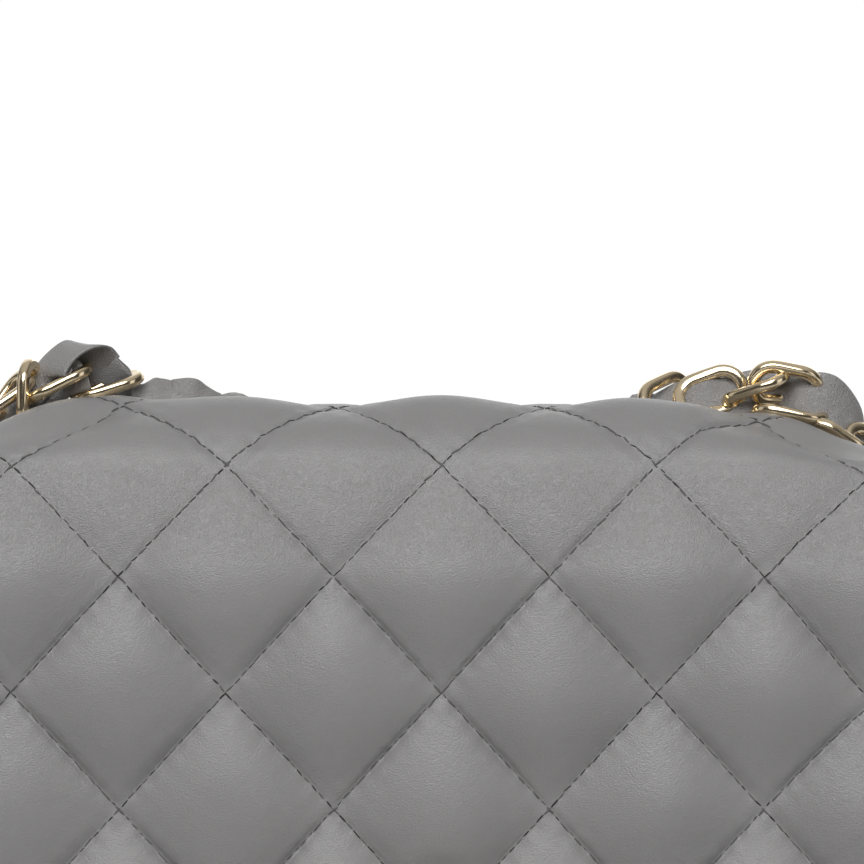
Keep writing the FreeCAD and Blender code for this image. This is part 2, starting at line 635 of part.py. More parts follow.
knuckle = doc.addObject("Part::Cylinder", "puller_knuckle")
for prop, q in (("Radius", D("knuckle_out")), ("Height", size(3.6)), ("Placement.Base.x", sx),
                ("Placement.Base.y", pin_y), ("Placement.Base.z", zz - 1.8)):
    knuckle.setExpression(prop, q.s)
pt = D("puller_thick") * 0.5
neck = box("puller_neck", sx - 5.0, sx, pin_y - pt, pin_y + pt, zz - 1.8, zz + 1.8)
leaf = box("puller_leaf", sx - D("puller_long"), sx - 3.2, pin_y - pt, pin_y + pt,
           zz - D("puller_wide") * 0.5, zz + D("puller_wide") * 0.5)
raw = doc.addObject("Part::MultiFuse", "puller_raw")
raw.Shapes = [knuckle, neck, leaf]
hole = doc.addObject("Part::Cylinder", "puller_bore")
for prop, q in (("Radius", D("knuckle_bore")), ("Height", size(6.0)), ("Placement.Base.x", sx),
                ("Placement.Base.y", pin_y), ("Placement.Base.z", zz - 3.0)):
    hole.setExpression(prop, q.s)
doc.recompute()
node(cut("zip_puller", raw, [hole]), "zip_puller")

# ---------------------------------------------------------------- chain strap
el = Vector(-N["eyelet_x"], N["eyelet_y"], ey_z)
er = Vector(N["eyelet_x"], N["eyelet_y"], ey_z)
ROUTE = [tuple(el - ey_n * 9.0), tuple(el - ey_n * 4.6 + Vector(0.15, 0.1, 0)), tuple(el + ey_n * 3.6),
         (-44.8, 19.0, 150.4), (-55.0, 17.0, 151.0), (-65.0, 15.9, 150.4), (-75.0, 15.9, 147.9),
         (-84.0, 18.2, 143.6), (-91.5, 23.6, 137.6), (-97.0, 31.4, 128.6), (-100.0, 38.4, 115.4),
         (-101.0, 41.6, 97.6), (-101.2, 42.4, 72.0), (-100.2, 43.6, 49.0), (-97.2, 45.4, 31.0),
         (-91.0, 47.4, 17.2), (-80.3, 49.2, 8.5), (-66.0, 50.4, 4.9), (-44.0, 49.2, 4.6), (-14.0, 50.6, 4.6),
         (20.0, 49.2, 4.6), (49.8, 49.8, 4.6), (67.8, 67.2, 4.6), (68.2, 92.4, 4.6), (50.6, 110.4, 4.6),
         (20.0, 111.0, 4.6), (-13.0, 109.2, 4.6), (-46.0, 110.2, 4.6), (-63.8, 127.8, 4.6),
         (-64.2, 152.8, 4.6), (-46.6, 170.8, 4.6), (-16.0, 171.4, 4.6), (16.0, 169.8, 4.6), (44.0, 170.2, 4.6),
         (69.0, 164.0, 4.6), (88.0, 147.0, 4.6), (98.0, 124.0, 4.6), (102.0, 99.0, 4.6), (103.2, 79.0, 4.7),
         (103.2, 64.2, 8.4), (102.6, 53.7, 17.2), (101.8, 47.6, 31.0), (101.2, 43.8, 50.0), (101.2, 42.4, 75.0),
         (101.0, 41.6, 97.6), (100.0, 38.4, 115.4), (97.0, 31.4, 128.4), (91.4, 23.6, 136.8), (84.0, 18.2, 142.4),
         (75.2, 15.9, 146.8), (66.0, 15.8, 149.7), (55.0, 17.0, 150.8), (44.8, 19.0, 150.4),
         tuple(er + ey_n * 3.6), tuple(er - ey_n * 4.6 + Vector(-0.15, 0.1, 0)), tuple(er - ey_n * 9.0)]
ROUTE = [Vector(*p) for p in ROUTE]


def rounded_wire(pts):
    edges, radii, length = [], [], 0.0
    last = pts[0]
    for k in range(1, len(pts) - 1):
        a, b, c = pts[k - 1], pts[k], pts[k + 1]
        u, w = a.sub(b), c.sub(b)
        lu, lw = u.Length, w.Length
        u, w = u * (1 / lu), w * (1 / lw)
        turn = math.pi - u.getAngle(w)
        keep = 0.45 * min(lu, lw)
        radius = keep / math.tan(turn / 2)
        p, q = b + u * keep, b + w * keep
        bis = (u + w)
        bis = bis * (1 / bis.Length)
        m = b + bis * (radius / math.cos(turn / 2) - radius)
        edges.append(Part.LineSegment(last, p).toShape())
        edges.append(Part.Arc(p, m, q).toShape())
        length += p.sub(last).Length + radius * turn
        radii.append((k, round(radius, 1), round(math.degrees(turn), 1)))
        last = q
    edges.append(Part.LineSegment(last, pts[-1]).toShape())
    length += pts[-1].sub(last).Length
    return Part.Wire(edges), radii, length


path, radii, strap_length = rounded_wire(ROUTE)
print("strap bend radii (point, mm, turn deg):", radii)
start_dir = ROUTE[1].sub(ROUTE[0])
ring_w = Part.Wire(Part.makeCircle(N["strap_radius"], ROUTE[0], start_dir))
tube = path.makePipeShell([ring_w], True, False)
want = math.pi * N["strap_radius"] ** 2 * strap_length
print("strap length %.1f mm, tube volume %.0f, section x length %.0f" % (strap_length, tube.Volume, want))
if abs(tube.Volume / want - 1) > 0.01:
    raise RuntimeError("strap tube volume is off")
strap = doc.addObject("Part::Feature", "chain_strap")
strap.Shape = tube
node(strap, "chain_strap")

# -------------------------------------------------------------------- output
doc.recompute()
for o in doc.Objects:
    if "Invalid" in o.State or "Error" in o.State:
        raise RuntimeError("%s is %s" % (o.Name, o.State))
os.makedirs("parts", exist_ok=True)
for o in NODES:
    s = o.Shape
    if s.isNull() or not s.isValid() or not s.Solids:
        raise RuntimeError("bad shape " + o.Label)
    b = s.optimalBoundingBox(False, False)
    print("%-24s solids %3d vol %9.1f  x %.1f..%.1f y %.1f..%.1f z %.1f..%.1f" % (
        o.Label, len(s.Solids), s.Volume, b.XMin, b.XMax, b.YMin, b.YMax, b.ZMin, b.ZMax))
    s.exportStep("parts/%s.step" % o.Label)
print("nodes", len(NODES))
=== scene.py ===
import json
import math

import bpy
import numpy as np
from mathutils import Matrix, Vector
from mathutils.kdtree import KDTree


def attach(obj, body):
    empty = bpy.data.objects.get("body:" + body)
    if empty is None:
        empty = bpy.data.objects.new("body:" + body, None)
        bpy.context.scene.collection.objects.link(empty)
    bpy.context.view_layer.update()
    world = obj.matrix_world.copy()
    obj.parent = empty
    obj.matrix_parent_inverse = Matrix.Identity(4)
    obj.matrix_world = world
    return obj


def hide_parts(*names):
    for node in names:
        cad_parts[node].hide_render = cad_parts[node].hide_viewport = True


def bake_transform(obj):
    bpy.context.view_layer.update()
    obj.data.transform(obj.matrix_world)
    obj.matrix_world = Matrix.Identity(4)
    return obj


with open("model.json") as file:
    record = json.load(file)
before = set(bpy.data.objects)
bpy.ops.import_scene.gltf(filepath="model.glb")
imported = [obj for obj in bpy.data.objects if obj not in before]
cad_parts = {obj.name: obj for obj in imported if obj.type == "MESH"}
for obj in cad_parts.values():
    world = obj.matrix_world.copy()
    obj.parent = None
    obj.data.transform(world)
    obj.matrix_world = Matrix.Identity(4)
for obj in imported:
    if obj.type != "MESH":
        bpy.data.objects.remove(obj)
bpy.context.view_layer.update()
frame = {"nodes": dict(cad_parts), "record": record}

scene = bpy.context.scene
MM = 0.001

# ------------------------------------------------------------------ camera
# Level product view with a long lens, aimed a little under the top edge.
PX = 0.1963                      # millimetres of the bag's front per image pixel
cam_data = bpy.data.cameras.new("camera")
cam = bpy.data.objects.new("camera", cam_data)
scene.collection.objects.link(cam)
scene.camera = cam
CAM_DIST, CAM_EL = 1.70, math.radians(2.6)
aim = Vector((-0.0018, -0.014, 0.1398))
cam.location = aim + Vector((0, -math.cos(CAM_EL), math.sin(CAM_EL))) * CAM_DIST
cam.rotation_mode = "QUATERNION"
cam.rotation_quaternion = (aim - cam.location).to_track_quat("-Z", "Y")
cam_data.sensor_width = 36.0
cam_data.lens = 36.0 * CAM_DIST / (864 * PX * MM)
cam_data.clip_start, cam_data.clip_end = 0.01, 50.0

# ------------------------------------------------------------- strap route
EY_X, EY_Y, CREST_Y, CREST_Z, R_TOP, R_FRONT = 39.0, 15.5, -7.0, 146.0, 60.0, 19.0
EY_N = np.array([0.0, (EY_Y - CREST_Y) / R_TOP, 0.0])
EY_N[2] = math.sqrt(1 - EY_N[1] ** 2)
EY_Z = CREST_Z - R_TOP + R_TOP * EY_N[2]
EY_L = np.array([-EY_X, EY_Y, EY_Z])
EY_R = np.array([EY_X, EY_Y, EY_Z])
ROUTE = [tuple(EY_L - 9.0 * EY_N), tuple(EY_L - 4.6 * EY_N + (0.15, 0.1, 0)), tuple(EY_L + 3.6 * EY_N),
         (-45.4, 15.8, 145.2), (-53.6, 13.0, 146.2), (-62.0, 11.8, 150.2), (-71.4, 11.0, 155.6), (-80.4, 11.2, 150.2),
         (-86.5, 14.0, 142.6), (-92.2, 21.4, 136.8), (-97.0, 31.4, 128.6), (-100.0, 38.4, 115.4),
         (-101.0, 41.6, 97.6), (-101.2, 42.4, 72.0), (-100.2, 43.6, 49.0), (-97.2, 45.4, 31.0),
         (-91.0, 47.4, 17.2), (-80.3, 49.2, 8.5), (-66.0, 50.4, 4.9), (-44.0, 49.2, 4.6), (-14.0, 50.6, 4.6),
         (20.0, 49.2, 4.6), (49.8, 49.8, 4.6), (67.8, 67.2, 4.6), (68.2, 92.4, 4.6), (50.6, 110.4, 4.6),
         (20.0, 111.0, 4.6), (-13.0, 109.2, 4.6), (-46.0, 110.2, 4.6), (-63.8, 127.8, 4.6),
         (-64.2, 152.8, 4.6), (-46.6, 170.8, 4.6), (-16.0, 171.4, 4.6), (16.0, 169.8, 4.6), (44.0, 170.2, 4.6),
         (69.0, 164.0, 4.6), (88.0, 147.0, 4.6), (98.0, 124.0, 4.6), (102.0, 99.0, 4.6), (103.2, 79.0, 4.7),
         (103.2, 64.2, 8.4), (102.6, 53.7, 17.2), (101.8, 47.6, 31.0), (101.2, 43.8, 50.0), (101.2, 42.4, 75.0),
         (101.0, 41.6, 97.6), (100.0, 38.4, 115.4), (97.0, 31.4, 128.2), (91.8, 22.0, 135.4), (85.4, 14.2, 138.8),
         (78.0, 11.4, 142.8), (69.8, 11.2, 149.6), (60.6, 11.8, 149.6), (52.0, 13.0, 147.8), (44.6, 16.8, 147.8),
         tuple(EY_R + 3.6 * EY_N), tuple(EY_R - 4.6 * EY_N + (-0.15, 0.1, 0)), tuple(EY_R - 9.0 * EY_N)]


def spline_points():
    """Points along the strap's own line, in millimetres."""
    cu = bpy.data.curves.new("strap_line", "CURVE")
    cu.dimensions = "3D"
    cu.resolution_u = 24
    sp = cu.splines.new("NURBS")
    sp.points.add(len(ROUTE) - 1)
    for p, q in zip(sp.points, ROUTE):
        p.co = (q[0] * MM, q[1] * MM, q[2] * MM, 1.0)
    sp.order_u = 3
    sp.use_endpoint_u = True
    ob = bpy.data.objects.new("strap_line", cu)
    scene.collection.objects.link(ob)
    bpy.context.view_layer.update()
    dg = bpy.context.evaluated_depsgraph_get()
    me = bpy.data.meshes.new_from_object(ob.evaluated_get(dg))
    co = np.array([v.co for v in me.vertices], float) / MM
    bpy.data.objects.remove(ob)
    bpy.data.meshes.remove(me)
    return co


line = spline_points()
seg = np.linalg.norm(np.diff(line, axis=0), axis=1)
line = line[np.concatenate([[True], seg > 1e-6])]
line_s = np.concatenate([[0], np.cumsum(np.linalg.norm(np.diff(line, axis=0), axis=1))])
STRAP_LEN = float(line_s[-1])


def on_line(s):
    s = np.asarray(s, float)
    return np.stack([np.interp(s, line_s, line[:, k]) for k in range(3)], axis=-1)


def unit(v):
    return v / np.maximum(np.linalg.norm(v, axis=-1, keepdims=True), 1e-12)


def line_frames(s):
    """Centre, direction, up-ish normal and side vector at arc lengths s, turning as little as possible."""
    s = np.asarray(s, float)
    c = on_line(s)
    t = unit(on_line(np.minimum(s + 1.2, STRAP_LEN)) - on_line(np.maximum(s - 1.2, 0)))
    n = np.zeros_like(t)
    ref = np.array([0.0, -1.0, 0.35])
    n[0] = unit(ref - t[0] * ref.dot(t[0]))
    for k in range(1, len(s)):
        v = n[k - 1] - t[k] * n[k - 1].dot(t[k])
        n[k] = unit(v)
    b = np.cross(t, n)
    return c, t, n, b


# ---------------------------------------------------------------- materials
def new_material(name):
    m = bpy.data.materials.new(name)
    m.use_nodes = True
    nt = m.node_tree
    nt.nodes.clear()
    out = nt.nodes.new("ShaderNodeOutputMaterial")
    bsdf = nt.nodes.new("ShaderNodeBsdfPrincipled")
    nt.links.new(bsdf.outputs["BSDF"], out.inputs["Surface"])
    return m, nt, bsdf


def leather(name, color, rough=0.45, grain=1.0, fine=3400.0, spec=0.58, calm=None, relief=1.25):
    m, nt, b = new_material(name)
    L = nt.links.new
    tc = nt.nodes.new("ShaderNodeTexCoord")
    low = nt.nodes.new("ShaderNodeTexNoise")
    low.inputs["Scale"].default_value = 60
    low.inputs["Detail"].default_value = 3
    L(tc.outputs["UV"], low.inputs["Vector"])
    ramp = nt.nodes.new("ShaderNodeMix")
    ramp.data_type = "RGBA"
    ramp.inputs["A"].default_value = (*[c * 0.93 for c in color], 1)
    ramp.inputs["B"].default_value = (*[c * 1.07 for c in color], 1)
    L(low.outputs["Fac"], ramp.inputs["Factor"])
    L(ramp.outputs["Result"], b.inputs["Base Color"])
    # creased grain: cell edges bent by noise, and finer wrinkles that run across
    warp = nt.nodes.new("ShaderNodeTexNoise")
    warp.inputs["Scale"].default_value = 330
    warp.inputs["Detail"].default_value = 2
    L(tc.outputs["UV"], warp.inputs["Vector"])
    add = nt.nodes.new("ShaderNodeVectorMath")
    add.operation = "MULTIPLY_ADD"
    add.inputs[1].default_value = (0.0008, 0.0008, 0.0008)
    L(warp.outputs["Color"], add.inputs[0])
    L(tc.outputs["UV"], add.inputs[2])
    cell = nt.nodes.new("ShaderNodeTexVoronoi")
    cell.feature = "DISTANCE_TO_EDGE"
    cell.inputs["Scale"].default_value = fine * 0.62
    L(add.outputs["Vector"], cell.inputs["Vector"])
    edge = nt.nodes.new("ShaderNodeMapRange")
    edge.interpolation_type = "SMOOTHSTEP"
    edge.inputs["From Max"].default_value = 0.30
    L(cell.outputs["Distance"], edge.inputs["Value"])
    squeeze = nt.nodes.new("ShaderNodeMapping")
    squeeze.inputs["Rotation"].default_value = (0, 0, -1.05)
    squeeze.inputs["Scale"].default_value = (0.66, 1.22, 1.0)
    L(add.outputs["Vector"], squeeze.inputs["Vector"])
    wr = nt.nodes.new("ShaderNodeTexNoise")
    wr.inputs["Scale"].default_value = fine * 0.9
    wr.inputs["Detail"].default_value = 1.2
    wr.inputs["Roughness"].default_value = 0.5
    L(squeeze.outputs["Vector"], wr.inputs["Vector"])
    mix = nt.nodes.new("ShaderNodeMath")
    mix.operation = "MULTIPLY_ADD"
    mix.inputs[1].default_value = 4.2
    L(wr.outputs["Fac"], mix.inputs[0])
    L(edge.outputs["Result"], mix.inputs[2])
    bump = nt.nodes.new("ShaderNodeBump")
    bump.inputs["Strength"].default_value = 0.9 * grain
    bump.inputs["Distance"].default_value = 0.000042 * relief
    if calm:
        # drawn up into a band of wrinkles where the leather starts to turn over, calm elsewhere
        up = nt.nodes.new("ShaderNodeSeparateXYZ")
        L(tc.outputs["UV"], up.inputs["Vector"])
        sides = []
        for lo, hi in ((calm[0], calm[1]), (calm[3], calm[2])):
            less = nt.nodes.new("ShaderNodeMapRange")
            less.interpolation_type = "SMOOTHSTEP"
            less.inputs["From Min"].default_value = lo * MM
            less.inputs["From Max"].default_value = hi * MM
            L(up.outputs["Y"], less.inputs["Value"])
            sides.append(less)
        band = nt.nodes.new("ShaderNodeMath")
        band.operation = "MULTIPLY"
        L(sides[0].outputs["Result"], band.inputs[0])
        L(sides[1].outputs["Result"], band.inputs[1])
        power = nt.nodes.new("ShaderNodeMapRange")
        power.inputs["To Min"].default_value = 0.52 * grain
        power.inputs["To Max"].default_value = 1.0 * grain
        L(band.outputs["Value"], power.inputs["Value"])
        L(power.outputs["Result"], bump.inputs["Strength"])
        # painted highlight: the band's base colour is made a little paler, standing in for the sheen of the key light
        # on its wrinkles
        painted_sheen_scale = nt.nodes.new("ShaderNodeMapRange")
        painted_sheen_scale.inputs["To Min"].default_value = 1.0
        painted_sheen_scale.inputs["To Max"].default_value = 1.13
        L(band.outputs["Value"], painted_sheen_scale.inputs["Value"])
        sheen_tinted_base = nt.nodes.new("ShaderNodeVectorMath")
        sheen_tinted_base.operation = "SCALE"
        L(ramp.outputs["Result"], sheen_tinted_base.inputs["Vector"])
        L(painted_sheen_scale.outputs["Result"], sheen_tinted_base.inputs["Scale"])
        L(sheen_tinted_base.outputs["Vector"], b.inputs["Base Color"])
    L(mix.outputs["Value"], bump.inputs["Height"])
    L(bump.outputs["Normal"], b.inputs["Normal"])
    b.inputs["Roughness"].default_value = rough
    b.inputs["Specular IOR Level"].default_value = spec
    return m


def plain(name, color, rough=0.6, metal=0.0):
    m, nt, b = new_material(name)
    b.inputs["Base Color"].default_value = (*color, 1)
    b.inputs["Roughness"].default_value = rough
    b.inputs["Metallic"].default_value = metal
    return m


def speckled(name, color, spread, scale, rough, bump=0.0, squash=(1, 1, 1), metal=0.0, rough_spread=0.0, spec=0.5):
    """Colour, roughness and relief broken up by one noise over the object's own space."""
    m, nt, b = new_material(name)
    L = nt.links.new
    tc = nt.nodes.new("ShaderNodeTexCoord")
    mp = nt.nodes.new("ShaderNodeMapping")
    mp.inputs["Scale"].default_value = squash
    L(tc.outputs["Object"], mp.inputs["Vector"])
    no = nt.nodes.new("ShaderNodeTexNoise")
    no.inputs["Scale"].default_value = scale
    no.inputs["Detail"].default_value = 4
    no.inputs["Roughness"].default_value = 0.6
    L(mp.outputs["Vector"], no.inputs["Vector"])
    mx = nt.nodes.new("ShaderNodeMix")
    mx.data_type = "RGBA"
    mx.inputs["A"].default_value = (*[c * (1 - spread) for c in color], 1)
    mx.inputs["B"].default_value = (*[c * (1 + spread) for c in color], 1)
    L(no.outputs["Fac"], mx.inputs["Factor"])
    L(mx.outputs["Result"], b.inputs["Base Color"])
    if rough_spread:
        rr = nt.nodes.new("ShaderNodeMapRange")
        rr.inputs["From Min"].default_value, rr.inputs["From Max"].default_value = 0.3, 0.7
        rr.inputs["To Min"].default_value, rr.inputs["To Max"].default_value = rough - rough_spread, rough + rough_spread
        L(no.outputs["Fac"], rr.inputs["Value"])
        L(rr.outputs["Result"], b.inputs["Roughness"])
    else:
        b.inputs["Roughness"].default_value = rough
    if bump:
        bu = nt.nodes.new("ShaderNodeBump")
        bu.inputs["Strength"].default_value = 0.8
        bu.inputs["Distance"].default_value = bump
        L(no.outputs["Fac"], bu.inputs["Height"])
        L(bu.outputs["Normal"], b.inputs["Normal"])
    b.inputs["Metallic"].default_value = metal
    b.inputs["Specular IOR Level"].default_value = spec
    return m


def woven(name, color, pitch, rough):
    """Plain weave: two crossing sets of ribs, raised in turn."""
    m, nt, b = new_material(name)
    L = nt.links.new
    tc = nt.nodes.new("ShaderNodeTexCoord")
    ribs = []
    for axis in ("X", "Y"):
        w = nt.nodes.new("ShaderNodeTexWave")
        w.wave_type, w.bands_direction, w.wave_profile = "BANDS", axis, "SIN"
        w.inputs["Scale"].default_value = 1.0 / pitch / 3.18
        w.inputs["Distortion"].default_value = 0.6
        w.inputs["Detail Scale"].default_value = 2.0
        L(tc.outputs["UV"], w.inputs["Vector"])
        ribs.append(w)
    mul = nt.nodes.new("ShaderNodeMath")
    mul.operation = "MULTIPLY"
    L(ribs[0].outputs["Fac"], mul.inputs[0])
    L(ribs[1].outputs["Fac"], mul.inputs[1])
    # painted shade and highlight: the tape's colour is darker where the ribs lie low and paler where they cross high
    mx = nt.nodes.new("ShaderNodeMix")
    mx.data_type = "RGBA"
    mx.inputs["A"].default_value = (*[c * 0.55 for c in color], 1)
    mx.inputs["B"].default_value = (*[c * 1.2 for c in color], 1)
    L(mul.outputs["Value"], mx.inputs["Factor"])
    L(mx.outputs["Result"], b.inputs["Base Color"])
    bu = nt.nodes.new("ShaderNodeBump")
    bu.inputs["Strength"].default_value = 0.8
    bu.inputs["Distance"].default_value = 0.00012
    L(mul.outputs["Value"], bu.inputs["Height"])
    L(bu.outputs["Normal"], b.inputs["Normal"])
    b.inputs["Roughness"].default_value = rough
    return m


GREY = (0.180, 0.1762, 0.1755)
M_LEATHER = leather("grey_leather", GREY, calm=(112, 121, 130, 139))
M_SMOOTH = leather("grey_leather_smooth", GREY, rough=0.42, grain=0.75)
M_LACE = leather("lace_leather", (0.205, 0.199, 0.197), rough=0.37, grain=1.0, fine=3600, relief=1.7)
M_LINING = leather("lining_leather", (0.150, 0.145, 0.144), rough=0.55, grain=0.6, fine=2800, spec=0.35)
# painted shade: the thread itself is the leather's grey; its colour is set much darker to stand in for the shadow in
# the seam groove
M_THREAD_SHADE_DARKENED = speckled("thread", (0.078, 0.076, 0.076), 0.35, 2600, 0.7, bump=0.00005)
# painted shade: the needle holes are near-black capsules set between the stitches, standing in for the shade inside the
# holes and the seam gap
M_HOLE_SHADE = speckled("needle_hole_shade", (0.018, 0.017, 0.017), 0.4, 1800, 0.9)
M_BOARD = speckled("board", (0.30, 0.25, 0.19), 0.25, 420, 0.9, bump=0.0001, squash=(0.3, 1, 1))
M_TAPE = woven("zip_tape", (0.115, 0.112, 0.112), 0.00055, 0.85)
M_GOLD = speckled("pale_gold", (0.82, 0.675, 0.455), 0.05, 500, 0.15, bump=0.0000012, metal=1.0, rough_spread=0.035)


# --------------------------------------------------------------- mesh tools
def make_mesh(name, verts, faces, material, uv=None, smooth=True, sharp=None):
    me = bpy.data.meshes.new(name)
    verts = np.asarray(verts, float) * MM
    me.from_pydata(verts.tolist(), [], faces)
    me.validate()
    if uv is not None:
        layer = me.uv_layers.new(name="UVMap")
        idx = np.zeros(len(me.loops), np.int32)
        me.loops.foreach_get("vertex_index", idx)
        layer.data.foreach_set("uv", (np.asarray(uv, float)[idx] * MM).astype(np.float32).ravel())
    me.polygons.foreach_set("use_smooth", np.full(len(me.polygons), smooth))
    if sharp is not None:
        me.set_sharp_from_angle(angle=math.radians(sharp))
    me.update()
    ob = bpy.data.objects.new(name, me)
    scene.collection.objects.link(ob)
    me.materials.append(material)
    return ob


def grid_faces(nu, nv, flip=False, base=0, diag=None):
    """Quads of a nu x nv grid, or triangles cut along the wanted diagonal."""
    i, j = np.meshgrid(np.arange(nu - 1), np.arange(nv - 1), indexing="ij")
    a = base + i * nv + j
    b, c, d = a + nv, a + nv + 1, a + 1
    if diag is None:
        f = np.stack([a, b, c, d], -1).reshape(-1, 4)
        if flip:
            f = f[:, ::-1]
        return f
    up = diag.astype(bool)
    t1 = np.where(up[..., None], np.stack([a, b, c], -1), np.stack([a, b, d], -1)).reshape(-1, 3)
    t2 = np.where(up[..., None], np.stack([a, c, d], -1), np.stack([b, c, d], -1)).reshape(-1, 3)
    f = np.concatenate([t1, t2])
    return f[:, ::-1] if flip else f


def rim_faces(nu, nv, off, flip=False):
    """Quads joining the borders of two stacked grids."""
    ring = ([(i, 0) for i in range(nu)] + [(nu - 1, j) for j in range(1, nv)] +
            [(i, nv - 1) for i in range(nu - 2, -1, -1)] + [(0, j) for j in range(nv - 2, 0, -1)])
    ids = [i * nv + j for i, j in ring]
    out = []
    for k in range(len(ids)):
        a, b = ids[k], ids[(k + 1) % len(ids)]
        out.append((a, a + off, b + off, b) if flip else (b, b + off, a + off, a))
    return out


def shell(name, outer, inner, material, uv, flip=False, drop=None, diag=None):
    """Closed padded sheet from an outer and an inner grid of the same shape."""
    nu, nv = outer.shape[:2]
    n = nu * nv
    fo = grid_faces(nu, nv, flip, 0, diag)
    fi = grid_faces(nu, nv, not flip, n)
    faces = [tuple(f) for f in fo.tolist()] + [tuple(f) for f in fi.tolist()] + rim_faces(nu, nv, n, flip)
    verts = np.concatenate([outer.reshape(-1, 3), inner.reshape(-1, 3)])
    uvs = np.concatenate([uv.reshape(-1, 2)] * 2)
    if drop is not None:
        bad = np.concatenate([drop.reshape(-1)] * 2)
        faces = [f for f in faces if not any(bad[k] for k in f)]
        used = np.zeros(len(verts), bool)
        for f in faces:
            used[list(f)] = True
        new = np.cumsum(used) - 1
        faces = [tuple(int(new[k]) for k in f) for f in faces]
        verts, uvs = verts[used], uvs[used]
    return make_mesh(name, verts, faces, material, uvs)


def smoothstep(t):
    t = np.clip(t, 0, 1)
    return t * t * (3 - 2 * t)


def grid_normals(p):
    du = np.gradient(p, axis=0)
    dv = np.gradient(p, axis=1)
    return unit(np.cross(du, dv))


def wave_noise(x, y, seed, wavelength, n=14):
    """Smooth irregular field in -1..1 made of plane waves."""
    r = np.random.default_rng(seed)
    out = np.zeros(np.broadcast(x, y).shape)
    for _ in range(n):
        a = r.uniform(0, 2 * math.pi)
        k = 2 * math.pi / (wavelength * r.uniform(0.7, 1.5))
        out += np.sin(k * (x * math.cos(a) + y * math.sin(a)) + r.uniform(0, 2 * math.pi))
    return out / math.sqrt(n) / 1.4


# ------------------------------------------------- draped outside of the bag
FLAP_HALF, FLAP_LOW, FLAP_CORNER = 108.0, 19.0, 22.0
FRONT_Y, BACK_Y, HINGE_Y, BACK_START = -26.0, 35.5, 5.0, 20.0
A_S = math.acos((BACK_START - CREST_Y) / R_TOP)
R_BACK = (BACK_Y - BACK_START) / (1 - math.cos(A_S))
CB_Y = BACK_START - R_BACK * math.cos(A_S)
CB_Z = CREST_Z - R_TOP + R_TOP * math.sin(A_S) - R_BACK * math.sin(A_S)
ARC_T, ARC_B = R_TOP * (math.pi / 2 - A_S), R_BACK * A_S


def front_profile():
    """Side view of the padded front: upright at the foot, full above the middle, then turning over into the top."""
    knots = np.array([(-26.0, 10.0), (-26.0, 30.0), (-26.0, 48.0), (-26.5, 62.0), (-27.4, 76.0), (-28.5, 90.0), (-29.1, 101.0),
                      (-29.45, 111.3), (-29.0, 117.25), (-28.0, 122.15), (-26.1, 127.85), (-23.95, 133.3), (-22.23, 136.95),
                      (-19.66, 140.0), (-17.31, 141.9), (-14.67, 143.3), (-10.91, 144.7), (-7.02, 145.6), (-4.53, 145.9),
                      (-2.0, 145.79), (3.0, 145.16)])
    out = []
    for k in range(1, len(knots) - 2):
        p0, p1, p2, p3 = knots[k - 1:k + 3]
        u = np.linspace(0, 1, 60, endpoint=False)[:, None]
        out.append(0.5 * (2 * p1 + (p2 - p0) * u + (2 * p0 - 5 * p1 + 4 * p2 - p3) * u ** 2 + (3 * p1 - p0 - 3 * p2 + p3) * u ** 3))
    out = np.concatenate(out + [knots[-2:-1]])
    s = np.concatenate([[0], np.cumsum(np.linalg.norm(np.diff(out, axis=0), axis=1))])
    return out[:, 0], out[:, 1], s + 30.0


PROF_Y, PROF_Z, PROF_P = front_profile()
JOIN = R_TOP * math.asin((-2.0 - CREST_Y) / R_TOP)      # where the front runs into the round of the top
P_CREST = float(PROF_P[-1]) - JOIN
QX, QP = 42.0, 46.0                                     # diamond width and height
ROW0 = 158.4                                            # a row of crossings, measured like p
P_BACK = P_CREST + ARC_T + ARC_B
P_END = P_BACK + (CB_Z - 1.5)


def past(x, start, soft=3.0):
    """Distance beyond start, coming on gently."""
    return 0.5 * (x - start + np.sqrt((x - start) ** 2 + soft * soft)) - 0.5 * soft * np.exp(-((x - start) / (1.1 * soft)) ** 2)


def droop(x):
    """Fall of the shoulders along the crest; the right one has sunk a little more."""
    right = 0.0125 * np.maximum(0, x - 42.0) ** 1.80 - 2.1 * np.exp(-((x - 69.0) / 7.8) ** 2) + 0.75 * np.exp(-((x - 48.0) / 8.5) ** 2)
    left = 0.0300 * np.maximum(0, -x - 66.0) ** 1.70 - 1.75 * np.exp(-((x + 68.0) / 16.0) ** 2)
    return np.where(x > 0, right, left)


def droop_front(x):
    """Fall of the front turn, which starts nearer the middle than that of the crest."""
    return np.where(x > 0, 0.27 * past(x, 50.0), 0.165 * past(-x, 58.0))


